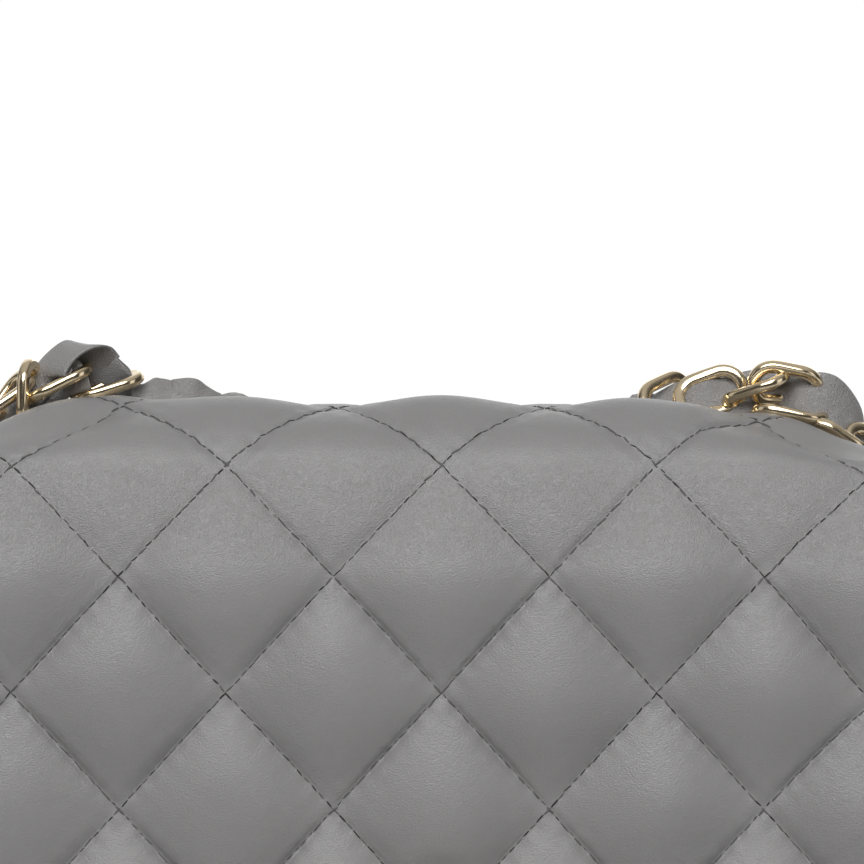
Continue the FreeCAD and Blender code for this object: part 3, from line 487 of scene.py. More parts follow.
def skin_base(x, p):
    """Nominal outside surface for across-position x and length p measured up the front and over the top."""
    x, p = np.broadcast_arrays(np.asarray(x, float), np.asarray(p, float))
    d = droop(x)
    top = ARC_T + ARC_B
    squeeze = (top - JOIN) / (top - JOIN + 0.62 * d)
    turn = smoothstep((p - (ROW0 - 25.0)) / 20.0)
    over = smoothstep((p - (ROW0 - 6.0)) / 11.0)
    fall = turn * (droop_front(x) * (1 - over) + d * over)
    slack = 2.2 * (np.maximum(0, x - 56.0) / 28.0) ** 2 * smoothstep((p - 40.0) / 60.0) * (1 - turn)
    y = np.interp(p, PROF_P, PROF_Y)
    z = np.where(p < 30.0, p, np.interp(p, PROF_P, PROF_Z)) - fall - slack
    q = JOIN + (p - P_CREST - JOIN) * squeeze
    db = np.where(over < 1, fall + slack, d * (1 - 0.38 * smoothstep((q - 16.0) / 22.0)))
    phi = q / R_TOP
    rear = p > P_CREST + JOIN
    y = np.where(rear, CREST_Y + R_TOP * np.sin(phi), y)
    z = np.where(rear, CREST_Z - db - R_TOP * (1 - np.cos(phi)), z)
    a = A_S - (q - ARC_T) / R_BACK
    y = np.where(q > ARC_T, CB_Y + R_BACK * np.cos(a), y)
    z = np.where(q > ARC_T, CB_Z - db + R_BACK * np.sin(a), z)
    low = p - (P_CREST + top + 0.62 * d)
    y = np.where(low > 0, BACK_Y, y)
    z = np.where(low > 0, CB_Z - 0.62 * d - low, z)
    return np.stack([x, y, z], -1)


def skin_normal(x, p):
    e = 0.4
    du = skin_base(x + e, p) - skin_base(x - e, p)
    dv = skin_base(x, p + e) - skin_base(x, p - e)
    return unit(np.cross(du, dv))




def gathered(p):
    """Length p with the leather drawn a little closer together where it turns over the fold."""
    return p + GATHER * smoothstep((p - (ROW0 - 20.0)) / 17.0)


GATHER = 0.2
P_TABLE = np.linspace(-50.0, 420.0, 9401)
G_TABLE = gathered(P_TABLE)


def ungathered(g):
    return np.interp(g, G_TABLE, P_TABLE)


def quilt(x, p, row0):
    """0 on the stitch lines, 1 in the middle of a diamond; and the distance to the nearest line in mm."""
    p = gathered(p)
    a = x / QX + (p - row0) / QP
    b = x / QX - (p - row0) / QP
    fa = np.abs(a - np.floor(a) - 0.5)      # 0 on a line
    fb = np.abs(b - np.floor(b) - 0.5)
    step = QX * QP / math.hypot(QX, QP)
    dist = np.minimum(fa, fb) * step
    ca, cb = np.sin(math.pi * fa), np.sin(math.pi * fb)
    return ca * cb, dist, a, b


LOCK_MID, LOCK_W, LOCK_H = 37.5, 9.0, 14.0


def stadium(x, z, cz, w, h):
    """Distance outside an upright oval."""
    dz = np.maximum(np.abs(z - cz) - (h - w), 0)
    return np.hypot(x, dz) - w


def edge_distance(x, p):
    """How far inside the border of the flap and back a point lies."""
    half = FLAP_HALF
    side = half - np.abs(x)
    low = p - FLAP_LOW
    cx, cp = half - FLAP_CORNER - np.abs(x), FLAP_CORNER + FLAP_LOW - p
    corner = FLAP_CORNER - np.hypot(np.minimum(cx, 0), np.maximum(cp, 0))
    e = np.minimum(side, low)
    e = np.where((cx < 0) & (cp > 0), corner, e)
    return np.minimum(e, np.maximum(P_END - p, 0) + 3.0)


RIM = 5.2
FLOOR = -1.8


def puff(p):
    """Depth of the padding: full on the front and back, pulled flat over the top fold."""
    front = smoothstep((P_CREST - 15.0 - p) / 44.0)
    back = smoothstep((p - P_CREST - 30.0) / 40.0)
    return 1.65 + 3.45 * front + 1.45 * back


def pillow(c):
    return 0.55 * c ** 0.55 + 0.45 * c


def pucker(a, b, dist, amp=0.34):
    """Small gathers pulled in by each stitch, fading away from the lines."""
    length = math.hypot(QX, QP)
    wa = np.cos(2 * math.pi * (a * length / 2 / 4.1))
    wb = np.cos(2 * math.pi * (b * length / 2 / 4.1))
    return amp * 0.5 * (wa + wb) * np.exp(-dist / 1.9)


def skin_offset(x, p):
    """Height of the padded outside over the nominal surface, in mm."""
    c, dist, a, b = quilt(x, p, ROW0)
    e = edge_distance(x, p)
    inner = smoothstep((e - RIM) / 5.5)
    base = skin_base(x, p)
    back = base[..., 1] > 6
    eye = np.minimum(np.linalg.norm(base - EY_L, axis=-1), np.linalg.norm(base - EY_R, axis=-1))
    flat = np.where(back, smoothstep((eye - 9.6) / 6.0), 1.0)
    flat = flat * np.where(p < 70, smoothstep((stadium(x, p, LOCK_MID, LOCK_W, LOCK_H) - 0.3) / 7.0), 1.0)
    soft = 1 + 0.10 * wave_noise(x, p, 3, 33)
    # the thread pulls deeper along the fold, between fuller tops
    deep = 0.85 * np.exp(-((p - P_CREST) / 8.0) ** 2) * inner * flat
    h = FLOOR + 0.7 * smoothstep((p - P_CREST + 12.0) / 12.0) - deep + (puff(p) + deep) * pillow(c) * inner * flat * soft
    h += (pucker(a, b, dist) + 0.05 * wave_noise(x, p, 5, 5.5) * np.exp(-dist / 5.0)) * inner * flat
    h += 1.8 * (1 - flat)
    # turned edge outside the border seam
    r = np.clip(e / RIM, 0, 1)
    h += np.where(e < RIM, 1.1 * np.sin(math.pi * r) ** 0.8, 0)
    # rounding at the very border
    t = np.clip(e / 1.7, 0, 1)
    h -= np.where(e < 1.7, 0.5 * (1 - np.sqrt(np.maximum(1 - (1 - t) ** 2, 0))), 0)
    return h


def half_width(p):
    """Half width of the flap at height p, with its rounded lower corners."""
    k = np.clip((FLAP_LOW + FLAP_CORNER - p) / FLAP_CORNER, 0, 1)
    return FLAP_HALF - FLAP_CORNER * (1 - np.sqrt(np.maximum(1 - k * k, 0)))


def build_skin():
    # rows and columns fall on the stitch lines' lattice
    nper = 48
    dp, dx = QP / nper, QX / nper
    j0 = math.ceil((FLAP_LOW - ROW0) / dp)
    rows = ungathered(ROW0 + dp * np.arange(j0, math.floor((P_END + GATHER - ROW0) / dp) + 1))
    rows = rows[rows < P_END]
    rows = np.unique(np.round(np.concatenate([[FLAP_LOW, FLAP_LOW + 0.25, FLAP_LOW + 0.6], rows, [P_END]]), 5))
    rows = rows[np.concatenate([[True], np.diff(rows) > 0.2])]
    ncol = int(FLAP_HALF // dx)
    cols = dx * np.arange(-ncol, ncol + 1)
    cols = np.concatenate([[-FLAP_HALF, -FLAP_HALF + 0.3, -FLAP_HALF + 0.8], cols[np.abs(cols) < FLAP_HALF - 1.0],
                           [FLAP_HALF - 0.8, FLAP_HALF - 0.3, FLAP_HALF]])
    U, Pp = np.meshgrid(cols, rows, indexing="ij")
    hw = half_width(Pp)
    X = np.where(hw < FLAP_HALF - 1e-6, U * hw / FLAP_HALF, U)
    base = skin_base(X, Pp)
    nrm = skin_normal(X, Pp)
    off = skin_offset(X, Pp)
    outer = base + nrm * off[..., None]
    e = edge_distance(X, Pp)
    t = np.clip(e / 1.7, 0, 1)
    deep = 3.9 - 0.65 * (1 - smoothstep(e / 6.0)) - np.where(e < 1.7, 0.35 * (1 - np.sqrt(np.maximum(1 - (1 - t) ** 2, 0))), 0)
    inner = base - nrm * deep[..., None]
    eye = np.minimum(np.linalg.norm(base - EY_L, axis=-1), np.linalg.norm(base - EY_R, axis=-1))
    drop = (base[..., 1] > 6) & (eye < 7.6)
    drop |= (Pp < 70) & (stadium(X, Pp, LOCK_MID, 3.1 + 1.2, 9.2 + 1.2) < 0)
    # cut each cell along the way the nearest stitch line runs
    xm = 0.25 * (X[:-1, :-1] + X[1:, :-1] + X[:-1, 1:] + X[1:, 1:])
    pm = 0.25 * (Pp[:-1, :-1] + Pp[1:, :-1] + Pp[:-1, 1:] + Pp[1:, 1:])
    _, _, a, b = quilt(xm, pm, ROW0)
    fa, fb = np.abs(a - np.floor(a) - 0.5), np.abs(b - np.floor(b) - 0.5)
    diag = fb < fa
    ob = shell("quilted_skin", outer, inner, M_LEATHER, np.stack([X, Pp], -1), flip=False, drop=drop, diag=diag)
    return ob


skin = build_skin()
FOLD = dict(start=(0, 0.0060, 0.1447), end=(0, -0.0022, 0.1455))
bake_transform(skin)
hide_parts("flap_shell", "back_panel")


# ----------------------------------------------------------------- stitching
def capsule(n_len=6, n_ring=7):
    """Unit stitch lying along +X: length 2, radius 1."""
    v, f = [], []
    xs = -np.cos(np.linspace(0.25, math.pi - 0.25, n_len))
    for x in xs:
        r = math.sqrt(max(1 - abs(x) ** 2.6, 0.02))
        for k in range(n_ring):
            a = 2 * math.pi * k / n_ring
            v.append((x, r * math.cos(a), r * math.sin(a)))
    for i in range(n_len - 1):
        for k in range(n_ring):
            a, b = i * n_ring + k, i * n_ring + (k + 1) % n_ring
            f.append((a, a + n_ring, b + n_ring, b))
    f.append(tuple(range(n_ring)))
    f.append(tuple(range((n_len - 1) * n_ring + n_ring - 1, (n_len - 1) * n_ring - 1, -1)))
    return np.array(v), f


CAP_V, CAP_F = capsule()


def many(name, place, half_len, half_wide, half_high, material, seed=0, loose=0.0):
    """One mesh of many small stitches; place is (centre, along, up) arrays."""
    c, t, n = place
    r = np.random.default_rng(seed)
    k = len(c)
    s = np.cross(n, t)
    lean = loose * r.uniform(-0.16, 0.16, (k, 1))
    t, s = t * np.cos(lean) + s * np.sin(lean), s * np.cos(lean) - t * np.sin(lean)
    c = c + s * loose * r.uniform(-0.12, 0.12, (k, 1)) + t * loose * r.uniform(-0.2, 0.2, (k, 1))
    ln = half_len * (1 + loose * r.uniform(-0.28, 0.16, (k, 1, 1)))
    wd = half_wide * (1 + loose * r.uniform(-0.25, 0.25, (k, 1, 1)))
    v = (c[:, None] + CAP_V[None, :, 0:1] * ln * t[:, None] + CAP_V[None, :, 1:2] * wd * s[:, None] +
         CAP_V[None, :, 2:3] * half_high * n[:, None])
    nv = len(CAP_V)
    faces = [tuple(i * nv + k for k in f) for i in range(len(c)) for f in CAP_F]
    return make_mesh(name, v.reshape(-1, 3), faces, material, smooth=True)


def seam_points(x_lim, p_lo, p_hi, row0, keep, pitch=4.1):
    """(x, p, dx, dp) of stitches along both families of slanting seams."""
    out = []
    length = math.hypot(QX, QP)
    ux, up = QX / length, QP / length
    n_lo = math.floor((-x_lim) / QX - (p_hi - row0) / QP) - 2
    n_hi = math.ceil(x_lim / QX + (p_hi - row0) / QP) + 2
    n_lo2 = math.floor((-x_lim) / QX + (p_lo - row0) / QP) - 2
    for sign in (1, -1):
        for n in range(min(n_lo, n_lo2), n_hi + 8):
            # x/QX + sign*(p-row0)/QP = n + 0.5
            ps = np.arange(p_lo, p_hi, pitch * up)
            ps = row0 + (np.round((ps - row0) / (pitch * up)) + 0.5) * pitch * up
            xs = QX * (n + 0.5 - sign * (ps - row0) / QP)
            close = (ungathered(ps + 0.5) - ungathered(ps - 0.5))
            ps = ungathered(ps)
            ok = (np.abs(xs) < x_lim) & keep(xs, ps)
            for x, p, k in zip(xs[ok], ps[ok], close[ok]):
                out.append((x, p, -sign * ux, up * k))
    return np.array(out)


def skin_keep(x, p):
    base = skin_base(x, p)
    eye = np.minimum(np.linalg.norm(base - EY_L, axis=-1), np.linalg.norm(base - EY_R, axis=-1))
    return ((edge_distance(x, p) > RIM + 1.0) & ~((base[..., 1] > 6) & (eye < 12)) &
            ~((p < 70) & (stadium(x, p, LOCK_MID, LOCK_W, LOCK_H) < 1.5)) & (p < P_END - 4))


def on_skin(x, p, lift):
    return skin_base(x, p) + skin_normal(x, p) * (skin_offset(x, p) + lift)[..., None]


def skin_place(pts, lift, shift=0.0):
    x, p = pts[:, 0] + pts[:, 2] * shift, pts[:, 1] + pts[:, 3] * shift
    c = on_skin(x, p, lift)
    t = unit(on_skin(x + pts[:, 2] * 0.8, p + pts[:, 3] * 0.8, lift) - on_skin(x - pts[:, 2] * 0.8, p - pts[:, 3] * 0.8, lift))
    n = skin_normal(x, p)
    n = unit(n - t * (n * t).sum(-1, keepdims=True))
    return c, t, n


def border_points(pitch=4.1, inset=RIM):
    """Stitches of the seam that runs round the flap and up the back's sides."""
    half = FLAP_HALF - inset
    r = FLAP_CORNER - inset
    low = FLAP_LOW + inset
    path = [(-half, p) for p in np.arange(P_END - 6, low + r, -0.5)]
    path += [(-half + r - r * math.cos(a), low + r - r * math.sin(a)) for a in np.linspace(0, math.pi / 2, 60)]
    path += [(x, low) for x in np.arange(-half + r, half - r, 0.5)]
    path += [(half - r + r * math.sin(a), low + r - r * math.cos(a)) for a in np.linspace(0, math.pi / 2, 60)]
    path += [(half, p) for p in np.arange(low + r, P_END - 6, 0.5)]
    path = np.array(path)
    pos = skin_base(path[:, 0], path[:, 1])
    s = np.concatenate([[0], np.cumsum(np.linalg.norm(np.diff(pos, axis=0), axis=1))])
    at = np.arange(2, s[-1] - 2, pitch)
    x, p = np.interp(at, s, path[:, 0]), np.interp(at, s, path[:, 1])
    x2, p2 = np.interp(at + 0.5, s, path[:, 0]), np.interp(at + 0.5, s, path[:, 1])
    d = np.stack([x2 - x, p2 - p], -1)
    d = d / np.linalg.norm(d, axis=1, keepdims=True)
    return np.column_stack([x, p, d])


seams = np.concatenate([seam_points(FLAP_HALF, FLAP_LOW, P_END, ROW0, skin_keep), border_points()])
thread = many("skin_stitches", skin_place(seams, 0.05), 1.22, 0.19, 0.22, M_THREAD_SHADE_DARKENED, 1, 1.0)
# the dark needle-hole capsules are painted shade
hole_shade_obs = many("skin_needle_hole_shade", skin_place(seams, 0.03, 2.05), 0.98, 0.155, 0.12, M_HOLE_SHADE, 2, 1.0)
for ob in (thread, hole_shade_obs):
    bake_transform(ob)

# ------------------------------------------------- the rest of the soft pieces
def run_place(path, normal, pitch=4.1, lift=0.0, shift=0.0, closed=False):
    """Stitch places along a line of points with a normal each (or one for all)."""
    path = np.asarray(path, float)
    if closed:
        path = np.concatenate([path, path[:1]])
    normal = np.broadcast_to(np.asarray(normal, float), path.shape) if np.ndim(normal) == 1 else np.asarray(normal, float)
    if closed and len(normal) != len(path):
        normal = np.concatenate([normal, normal[:1]])
    s = np.concatenate([[0], np.cumsum(np.linalg.norm(np.diff(path, axis=0), axis=1))])
    ats = np.arange(pitch * 0.5, s[-1] - pitch * 0.2, pitch) + shift

    def get(v, q):
        return np.stack([np.interp(q, s, v[:, k]) for k in range(3)], -1)
    c, t, n = get(path, ats), unit(get(path, ats + 0.5) - get(path, ats - 0.5)), unit(get(normal, ats))
    n = unit(n - t * (n * t).sum(-1, keepdims=True))
    return c + n * lift, t, n


def join_places(*places):
    return tuple(np.concatenate([q[k] for q in places]) for k in range(3))


def sew(name, lines, body, thread_high=0.2, seed=5, fold=None):
    """Thread, and dark needle-hole marks painted as shade, along several lines: each (path, normal) or (path, normal,
    closed).
    """
    a = join_places(*[run_place(q[0], q[1], lift=0.02, closed=len(q) > 2) for q in lines])
    b = join_places(*[run_place(q[0], q[1], lift=0.02, shift=2.05, closed=len(q) > 2) for q in lines])
    for ob in (many(name + "_stitches", a, 1.25, 0.24, thread_high, M_THREAD_SHADE_DARKENED, seed, 1.0),
               many(name + "_needle_hole_shade", b, 0.9, 0.17, 0.10, M_HOLE_SHADE, seed + 1, 1.0)):
        if fold:
            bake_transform(ob)
        else:
            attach(ob, body)


def soft(ob, node, slot, body="bag_body", fold=None):
    if fold:
        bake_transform(ob)
    else:
        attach(ob, body)
    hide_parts(node)


def corner_half(z, half, low, high, r_low, r_high):
    """Half width at height z of an upright panel with rounded corners."""
    a = np.clip((low + r_low - z) / max(r_low, 1e-6), 0, 1)
    b = np.clip((z - high + r_high) / max(r_high, 1e-6), 0, 1)
    return half - r_low * (1 - np.sqrt(np.maximum(1 - a * a, 0))) - r_high * (1 - np.sqrt(np.maximum(1 - b * b, 0)))


def panel_grid(half, low, high, r_low, r_high, nx, nz):
    """Grid over a rounded upright panel: x, z and the distance inside its border."""
    u = np.linspace(-1, 1, nx)
    ends = np.array([0.0, 0.25, 0.7, 1.3, 2.1])
    zs = np.unique(np.concatenate([low + ends, np.linspace(low + 3.0, high - 3.0, nz), high - ends]))
    U, Z = np.meshgrid(u, zs, indexing="ij")
    H = corner_half(Z, half, low, high, r_low, r_high)
    X = U * np.maximum(H, 0.2)

    def inside(x, z):
        ax = np.abs(x)
        e = np.minimum(half - ax, np.minimum(z - low, high - z))
        for r, cz, up in ((r_low, low + r_low, -1), (r_high, high - r_high, 1)):
            cx = half - r
            m = (ax > cx) & ((z - cz) * up > 0)
            e = np.where(m, r - np.hypot(ax - cx, z - cz), e)
        return np.maximum(e, 0)
    return X, Z, inside


# padded front under the flap
FP_Y, FP_HALF, FP_LOW, FP_HIGH = -18.6, 109.0, 3.0, 116.0
SEAT_Z, SEAT_W, SEAT_H = 40.0, 7.5, 11.0
nx = 361
FX, FZ, fp_inside = panel_grid(FP_HALF, FP_LOW, FP_HIGH, 5.0, 30.0, nx, 200)


def front_height(x, z):
    """How far the front stands out of its seam floor."""
    c, dist, a, b = quilt(x, z, ROW0)
    e = fp_inside(x, z)
    under = smoothstep((107.6 - z) / 5.0)
    flat = smoothstep((stadium(x, z, SEAT_Z, SEAT_W, SEAT_H) - 0.4) / 6.0)
    inner = smoothstep((e - RIM) / 5.5) * np.where(np.abs(x) < 84, under, 1.0)
    h = (2.45 * pillow(c) * (1 + 0.10 * wave_noise(x, z, 23, 30)) + 0.8 * pucker(a, b, dist)) * inner * flat
    h = h + 1.45 * (1 - flat)
    r = np.clip(e / RIM, 0, 1)
    h = h + np.where((e < RIM) & ((z < 104) | (np.abs(x) > 80)), 0.95 * np.sin(math.pi * r) ** 0.8, 0)
    t = np.clip(e / 1.6, 0, 1)
    return h - np.where(e < 1.6, 0.55 * (1 - np.sqrt(np.maximum(1 - (1 - t) ** 2, 0))), 0)


def on_front(x, z, lift=0.0):
    return np.stack([x, FP_Y + 1.45 - front_height(x, z) - lift, z], -1)


fe = fp_inside(FX, FZ)
ft = np.clip(fe / 1.6, 0, 1)
front_in = np.stack([FX, -14.65 - np.where(fe < 1.6, 0.9 * (1 - np.sqrt(np.maximum(1 - (1 - ft) ** 2, 0))), 0), FZ], -1)
front_ob = shell("front_quilted", on_front(FX, FZ), front_in, M_LEATHER, np.stack([FX, FZ], -1))
soft(front_ob, "front_panel", "quilted_leather")


def front_keep(x, z):
    return ((fp_inside(x, z) > RIM + 1.0) & (stadium(x, z, SEAT_Z, SEAT_W, SEAT_H) > 1.5) & ((z < 106) | (np.abs(x) > 80)))


fs = seam_points(FP_HALF, FP_LOW, FP_HIGH, ROW0, front_keep)
fb_z = np.concatenate([np.linspace(100, FP_LOW + 5.2 + 1, 160)])
fb = np.concatenate([np.stack([np.full(160, -FP_HALF + RIM), fb_z], -1),
                     np.stack([np.linspace(-FP_HALF + RIM + 1, FP_HALF - RIM - 1, 300), np.full(300, FP_LOW + RIM)], -1),
                     np.stack([np.full(160, FP_HALF - RIM), fb_z[::-1]], -1)])


def front_places(lift, shift):
    x, z = fs[:, 0] + fs[:, 2] * shift, fs[:, 1] + fs[:, 3] * shift
    c = on_front(x, z, lift)
    t = unit(on_front(x + fs[:, 2], z + fs[:, 3], lift) - on_front(x - fs[:, 2], z - fs[:, 3], lift))
    n = np.broadcast_to(np.array([0, -1.0, 0]), t.shape)
    return c, t, unit(n - t * (n * t).sum(-1, keepdims=True))


edge_run = on_front(fb[:, 0], fb[:, 1])
# the dark needle-hole capsules are painted shade
for ob in (many("front_stitches", join_places(front_places(0.0, 0.0), run_place(edge_run, (0, -1.0, 0))), 1.2, 0.21, 0.22, M_THREAD_SHADE_DARKENED, 31, 1.0),
           many("front_needle_hole_shade", join_places(front_places(0.03, 2.05), run_place(edge_run, (0, -1.0, 0), lift=0.03, shift=2.05)),
                0.98, 0.155, 0.12, M_HOLE_SHADE, 32, 1.0)):
    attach(ob, "bag_body")

# lining of the flap, laid against the padded leather
P_HINGE = P_CREST + R_TOP * math.asin((HINGE_Y - 0.8 - CREST_Y) / R_TOP)


def lining_depth(x, p, e):
    return 4.9 - 1.0 * (1 - smoothstep(e / 5.0)) + 0.10 * wave_noise(x, p, 41, 26) * smoothstep(e / 12.0) * \
        smoothstep((stadium(x, p, LOCK_MID, LOCK_W, LOCK_H) - 1.0) / 6.0)


lrows = np.unique(np.concatenate([[FLAP_LOW + 1.1, FLAP_LOW + 1.5, FLAP_LOW + 2.2], np.linspace(FLAP_LOW + 3, P_HINGE, 220)]))
lcols = np.linspace(-1, 1, 221)
LU, LP = np.meshgrid(lcols, lrows, indexing="ij")
LX = LU * (half_width(LP) - 1.1)
lbase, lnrm = skin_base(LX, LP), skin_normal(LX, LP)
le = edge_distance(LX, LP)
ldrop = (LP < 70) & (stadium(LX, LP, LOCK_MID, 4.4, 10.4) < 0)
lining_flap = shell("flap_lining_leather", lbase - lnrm * (3.4 - 0.7 * (1 - smoothstep(le / 5.0)))[..., None],
                    lbase - lnrm * lining_depth(LX, LP, le)[..., None], M_LINING, np.stack([LX, LP], -1), drop=ldrop)
soft(lining_flap, "flap_lining", "lining", fold=FOLD)
lb = border_points(pitch=1.0, inset=5.0)
lb = lb[lb[:, 1] < P_HINGE - 6]
lb_pos = skin_base(lb[:, 0], lb[:, 1]) - skin_normal(lb[:, 0], lb[:, 1]) * lining_depth(lb[:, 0], lb[:, 1], edge_distance(lb[:, 0], lb[:, 1]))[:, None]
sew("flap_lining", [(lb_pos, -skin_normal(lb[:, 0], lb[:, 1]))], "flap", seed=43, fold=FOLD)

# side gussets: one fold inward along the middle, easing towards the foot
MID_Y, SPAN, G_OUT, G_FOLD, G_SLAB, G_TOP = 8.45, 23.05, 107.0, 9.0, 2.685, 103.0


def gusset_x(y, z, inset):
    """Distance out from the middle of the bag of a surface that lies inset under the gusset's outer face."""
    t = np.clip((y - MID_Y) / SPAN, -1, 1)
    soft_v = 1.06 - np.sqrt(t * t + 0.0075) / math.sqrt(1.0075) * 1.06
    depth = G_FOLD * (0.74 + 0.26 * smoothstep((z - 3) / 60.0))
    belly = 0.85 * np.sin(math.pi * np.abs(t)) ** 2 * np.sin(math.pi * np.clip((z - 3) / 112.0, 0, 1))
    ripple = 0.16 * wave_noise(y * 1.5, z, 51, 24) * (1 - t * t)
    return G_OUT - inset - depth * soft_v + belly + ripple


ny, nz = ((101, 150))
gy = MID_Y + SPAN * np.linspace(-1, 1, ny)
gz = np.unique(np.concatenate([[3.0, 3.2, 3.6], np.linspace(4.2, 101.6, nz), [102.4, 102.8, 103.0]]))
GY, GZ = np.meshgrid(gy, gz, indexing="ij")
lift_top = np.clip((GZ - 101.6) / 1.4, 0, 1)
roll_top = 1.1 * (1 - np.sqrt(np.maximum(1 - lift_top ** 2, 0)))
hem = 0.25 * np.exp(-((GZ - 97.6) / 0.5) ** 2)
for side, sg in (("left", -1.0), ("right", 1.0)):
    outer = np.stack([sg * (gusset_x(GY, GZ, 0.0) - roll_top - hem), GY, GZ], -1)
    inner = np.stack([sg * (gusset_x(GY, GZ, G_SLAB) + roll_top), GY, GZ], -1)
    ob = shell("gusset_soft_" + side, outer, inner, M_SMOOTH, np.stack([GY, GZ], -1), flip=sg < 0)
    soft(ob, "gusset_" + side, "smooth_leather")
    yy = np.linspace(MID_Y - SPAN + 1.5, MID_Y + SPAN - 1.5, 120)
    top_run = np.stack([sg * gusset_x(yy, np.full_like(yy, 97.6), 0.1), yy, np.full_like(yy, 97.6)], -1)
    sew("gusset_" + side, [(top_run, (sg, 0, 0))], "bag_body", seed=55 + int(sg))
    # lining of the gusset
    ly = np.linspace(-13.75, 30.65, ny)
    lz = np.concatenate([np.linspace(4.6, 101.4, nz), [101.8, 102.0]])
    GLY, GLZ = np.meshgrid(ly, lz, indexing="ij")
    outer = np.stack([sg * gusset_x(GLY, GLZ, G_SLAB + 0.02), GLY, GLZ], -1)
    inner = np.stack([sg * (gusset_x(GLY, GLZ, G_SLAB + 0.95) - 0.10 * wave_noise(GLY, GLZ, 61, 15)), GLY, GLZ], -1)
    ob = shell("lining_soft_" + side, outer, inner, M_LINING, np.stack([GLY, GLZ], -1), flip=sg < 0)
    soft(ob, "lining_" + side, "lining")

# foot of the bag: firm leather with rolled edges
bx, by = np.linspace(-1, 1, 161), np.linspace(-1, 1, 61)
bx = np.sign(bx) * (1 - (1 - np.abs(bx)) ** 1.6)
by = np.sign(by) * (1 - (1 - np.abs(by)) ** 1.6)
BU, BV = np.meshgrid(bx, by, indexing="ij")
BYC, BYH = (35.5 - 18.6) / 2, (35.5 + 18.6) / 2
BY = BYC + BV * BYH
bh = corner_half(BY, 109.0, BYC - BYH, BYC + BYH, 5.0, 5.0)
BX = BU * bh
be = np.maximum(np.minimum(bh - np.abs(BX), BYH - np.abs(BY - BYC)), 0)
bt = np.clip(be / 2.6, 0, 1)
edge_roll = 1 - np.sqrt(np.maximum(1 - (1 - bt) ** 2, 0))
groove = 0.28 * np.exp(-((be - 5.0) / 0.55) ** 2)
base_top = np.stack([BX, BY, 3.0 - 1.25 * edge_roll], -1)
base_low = np.stack([BX, BY, 1.25 * edge_roll + groove + np.maximum(0.06 + 0.03 * wave_noise(BX, BY, 71, 14), 0.02)], -1)
base_ob = shell("base_soft", base_top, base_low, M_SMOOTH, np.stack([BX, BY], -1))
soft(base_ob, "base_panel", "smooth_leather")
foot = [(-104.0, y) for y in np.linspace(-12, 29, 60)] + [(x, 30.5) for x in np.linspace(-102, 102, 240)] + \
       [(104.0, y) for y in np.linspace(29, -12, 60)] + [(x, -13.6) for x in np.linspace(102, -102, 240)]
sew("base", [(np.array([(x, y, 0.33) for x, y in foot]), (0, 0, -1.0), True)], "bag_body", thread_high=0.14, seed=73)

# folded binding over the mouth's front edge
B_HALF, B_LOW, B_TOP, B_F, B_I = 76.0, 108.0, 116.8, -19.4, -13.0
arc = np.linspace(0, math.pi, 25)
rb, cb_y = 2.6, 0.5 * (B_F + B_I)
uprof = ([(B_F, z) for z in np.linspace(B_LOW, B_TOP - rb, 12)[:-1]] +
         [(cb_y - (B_I - B_F) / 2 * math.cos(a), B_TOP - rb + rb * math.sin(a) ** 0.75) for a in arc] +
         [(B_I, z) for z in np.linspace(B_TOP - rb, B_LOW, 12)[1:]])
uprof = np.array(uprof)
ub = np.linspace(-B_HALF, B_HALF, 301)
ends = np.clip((B_HALF - np.abs(ub)) / 2.5, 0, 1)
ends = 1 - 0.5 * (1 - np.sqrt(np.maximum(1 - (1 - ends) ** 2, 0)))
UX, UI = np.meshgrid(ub, np.arange(len(uprof)), indexing="ij")
py_, pz_ = uprof[UI, 0], uprof[UI, 1]
wob = 0.13 * wave_noise(UX, pz_ + py_ * 2, 81, 7.0)
grow = ends[:, None]
puffed = 0.22 * np.sin(math.pi * np.clip((pz_ - B_LOW) / (B_TOP - B_LOW), 0, 1))
sgn = np.sign(py_ - cb_y)
bind_out = np.stack([UX, cb_y + (py_ - cb_y) * grow + sgn * (wob + puffed) * grow, B_LOW + (pz_ - B_LOW) * (0.5 + 0.5 * grow) + wob * 0.4], -1)
bind_in = np.stack([UX, cb_y + (py_ - cb_y) * 0.74, np.minimum(pz_, B_TOP - 0.8)], -1)
bind_ob = shell("binding_soft", bind_out, bind_in, M_SMOOTH, np.stack([UX, UI * 0.55], -1))
soft(bind_ob, "mouth_binding", "smooth_leather")
bl = np.linspace(-B_HALF + 2, B_HALF - 2, 200)
sew("binding", [(np.stack([bl, np.full(200, B_F - 0.02), np.full(200, B_LOW + 1.7)], -1), (0, -1.0, 0)),
                (np.stack([bl, np.full(200, B_I + 0.02), np.full(200, B_LOW + 1.7)], -1), (0, 1.0, 0))],
    "bag_body", seed=83)

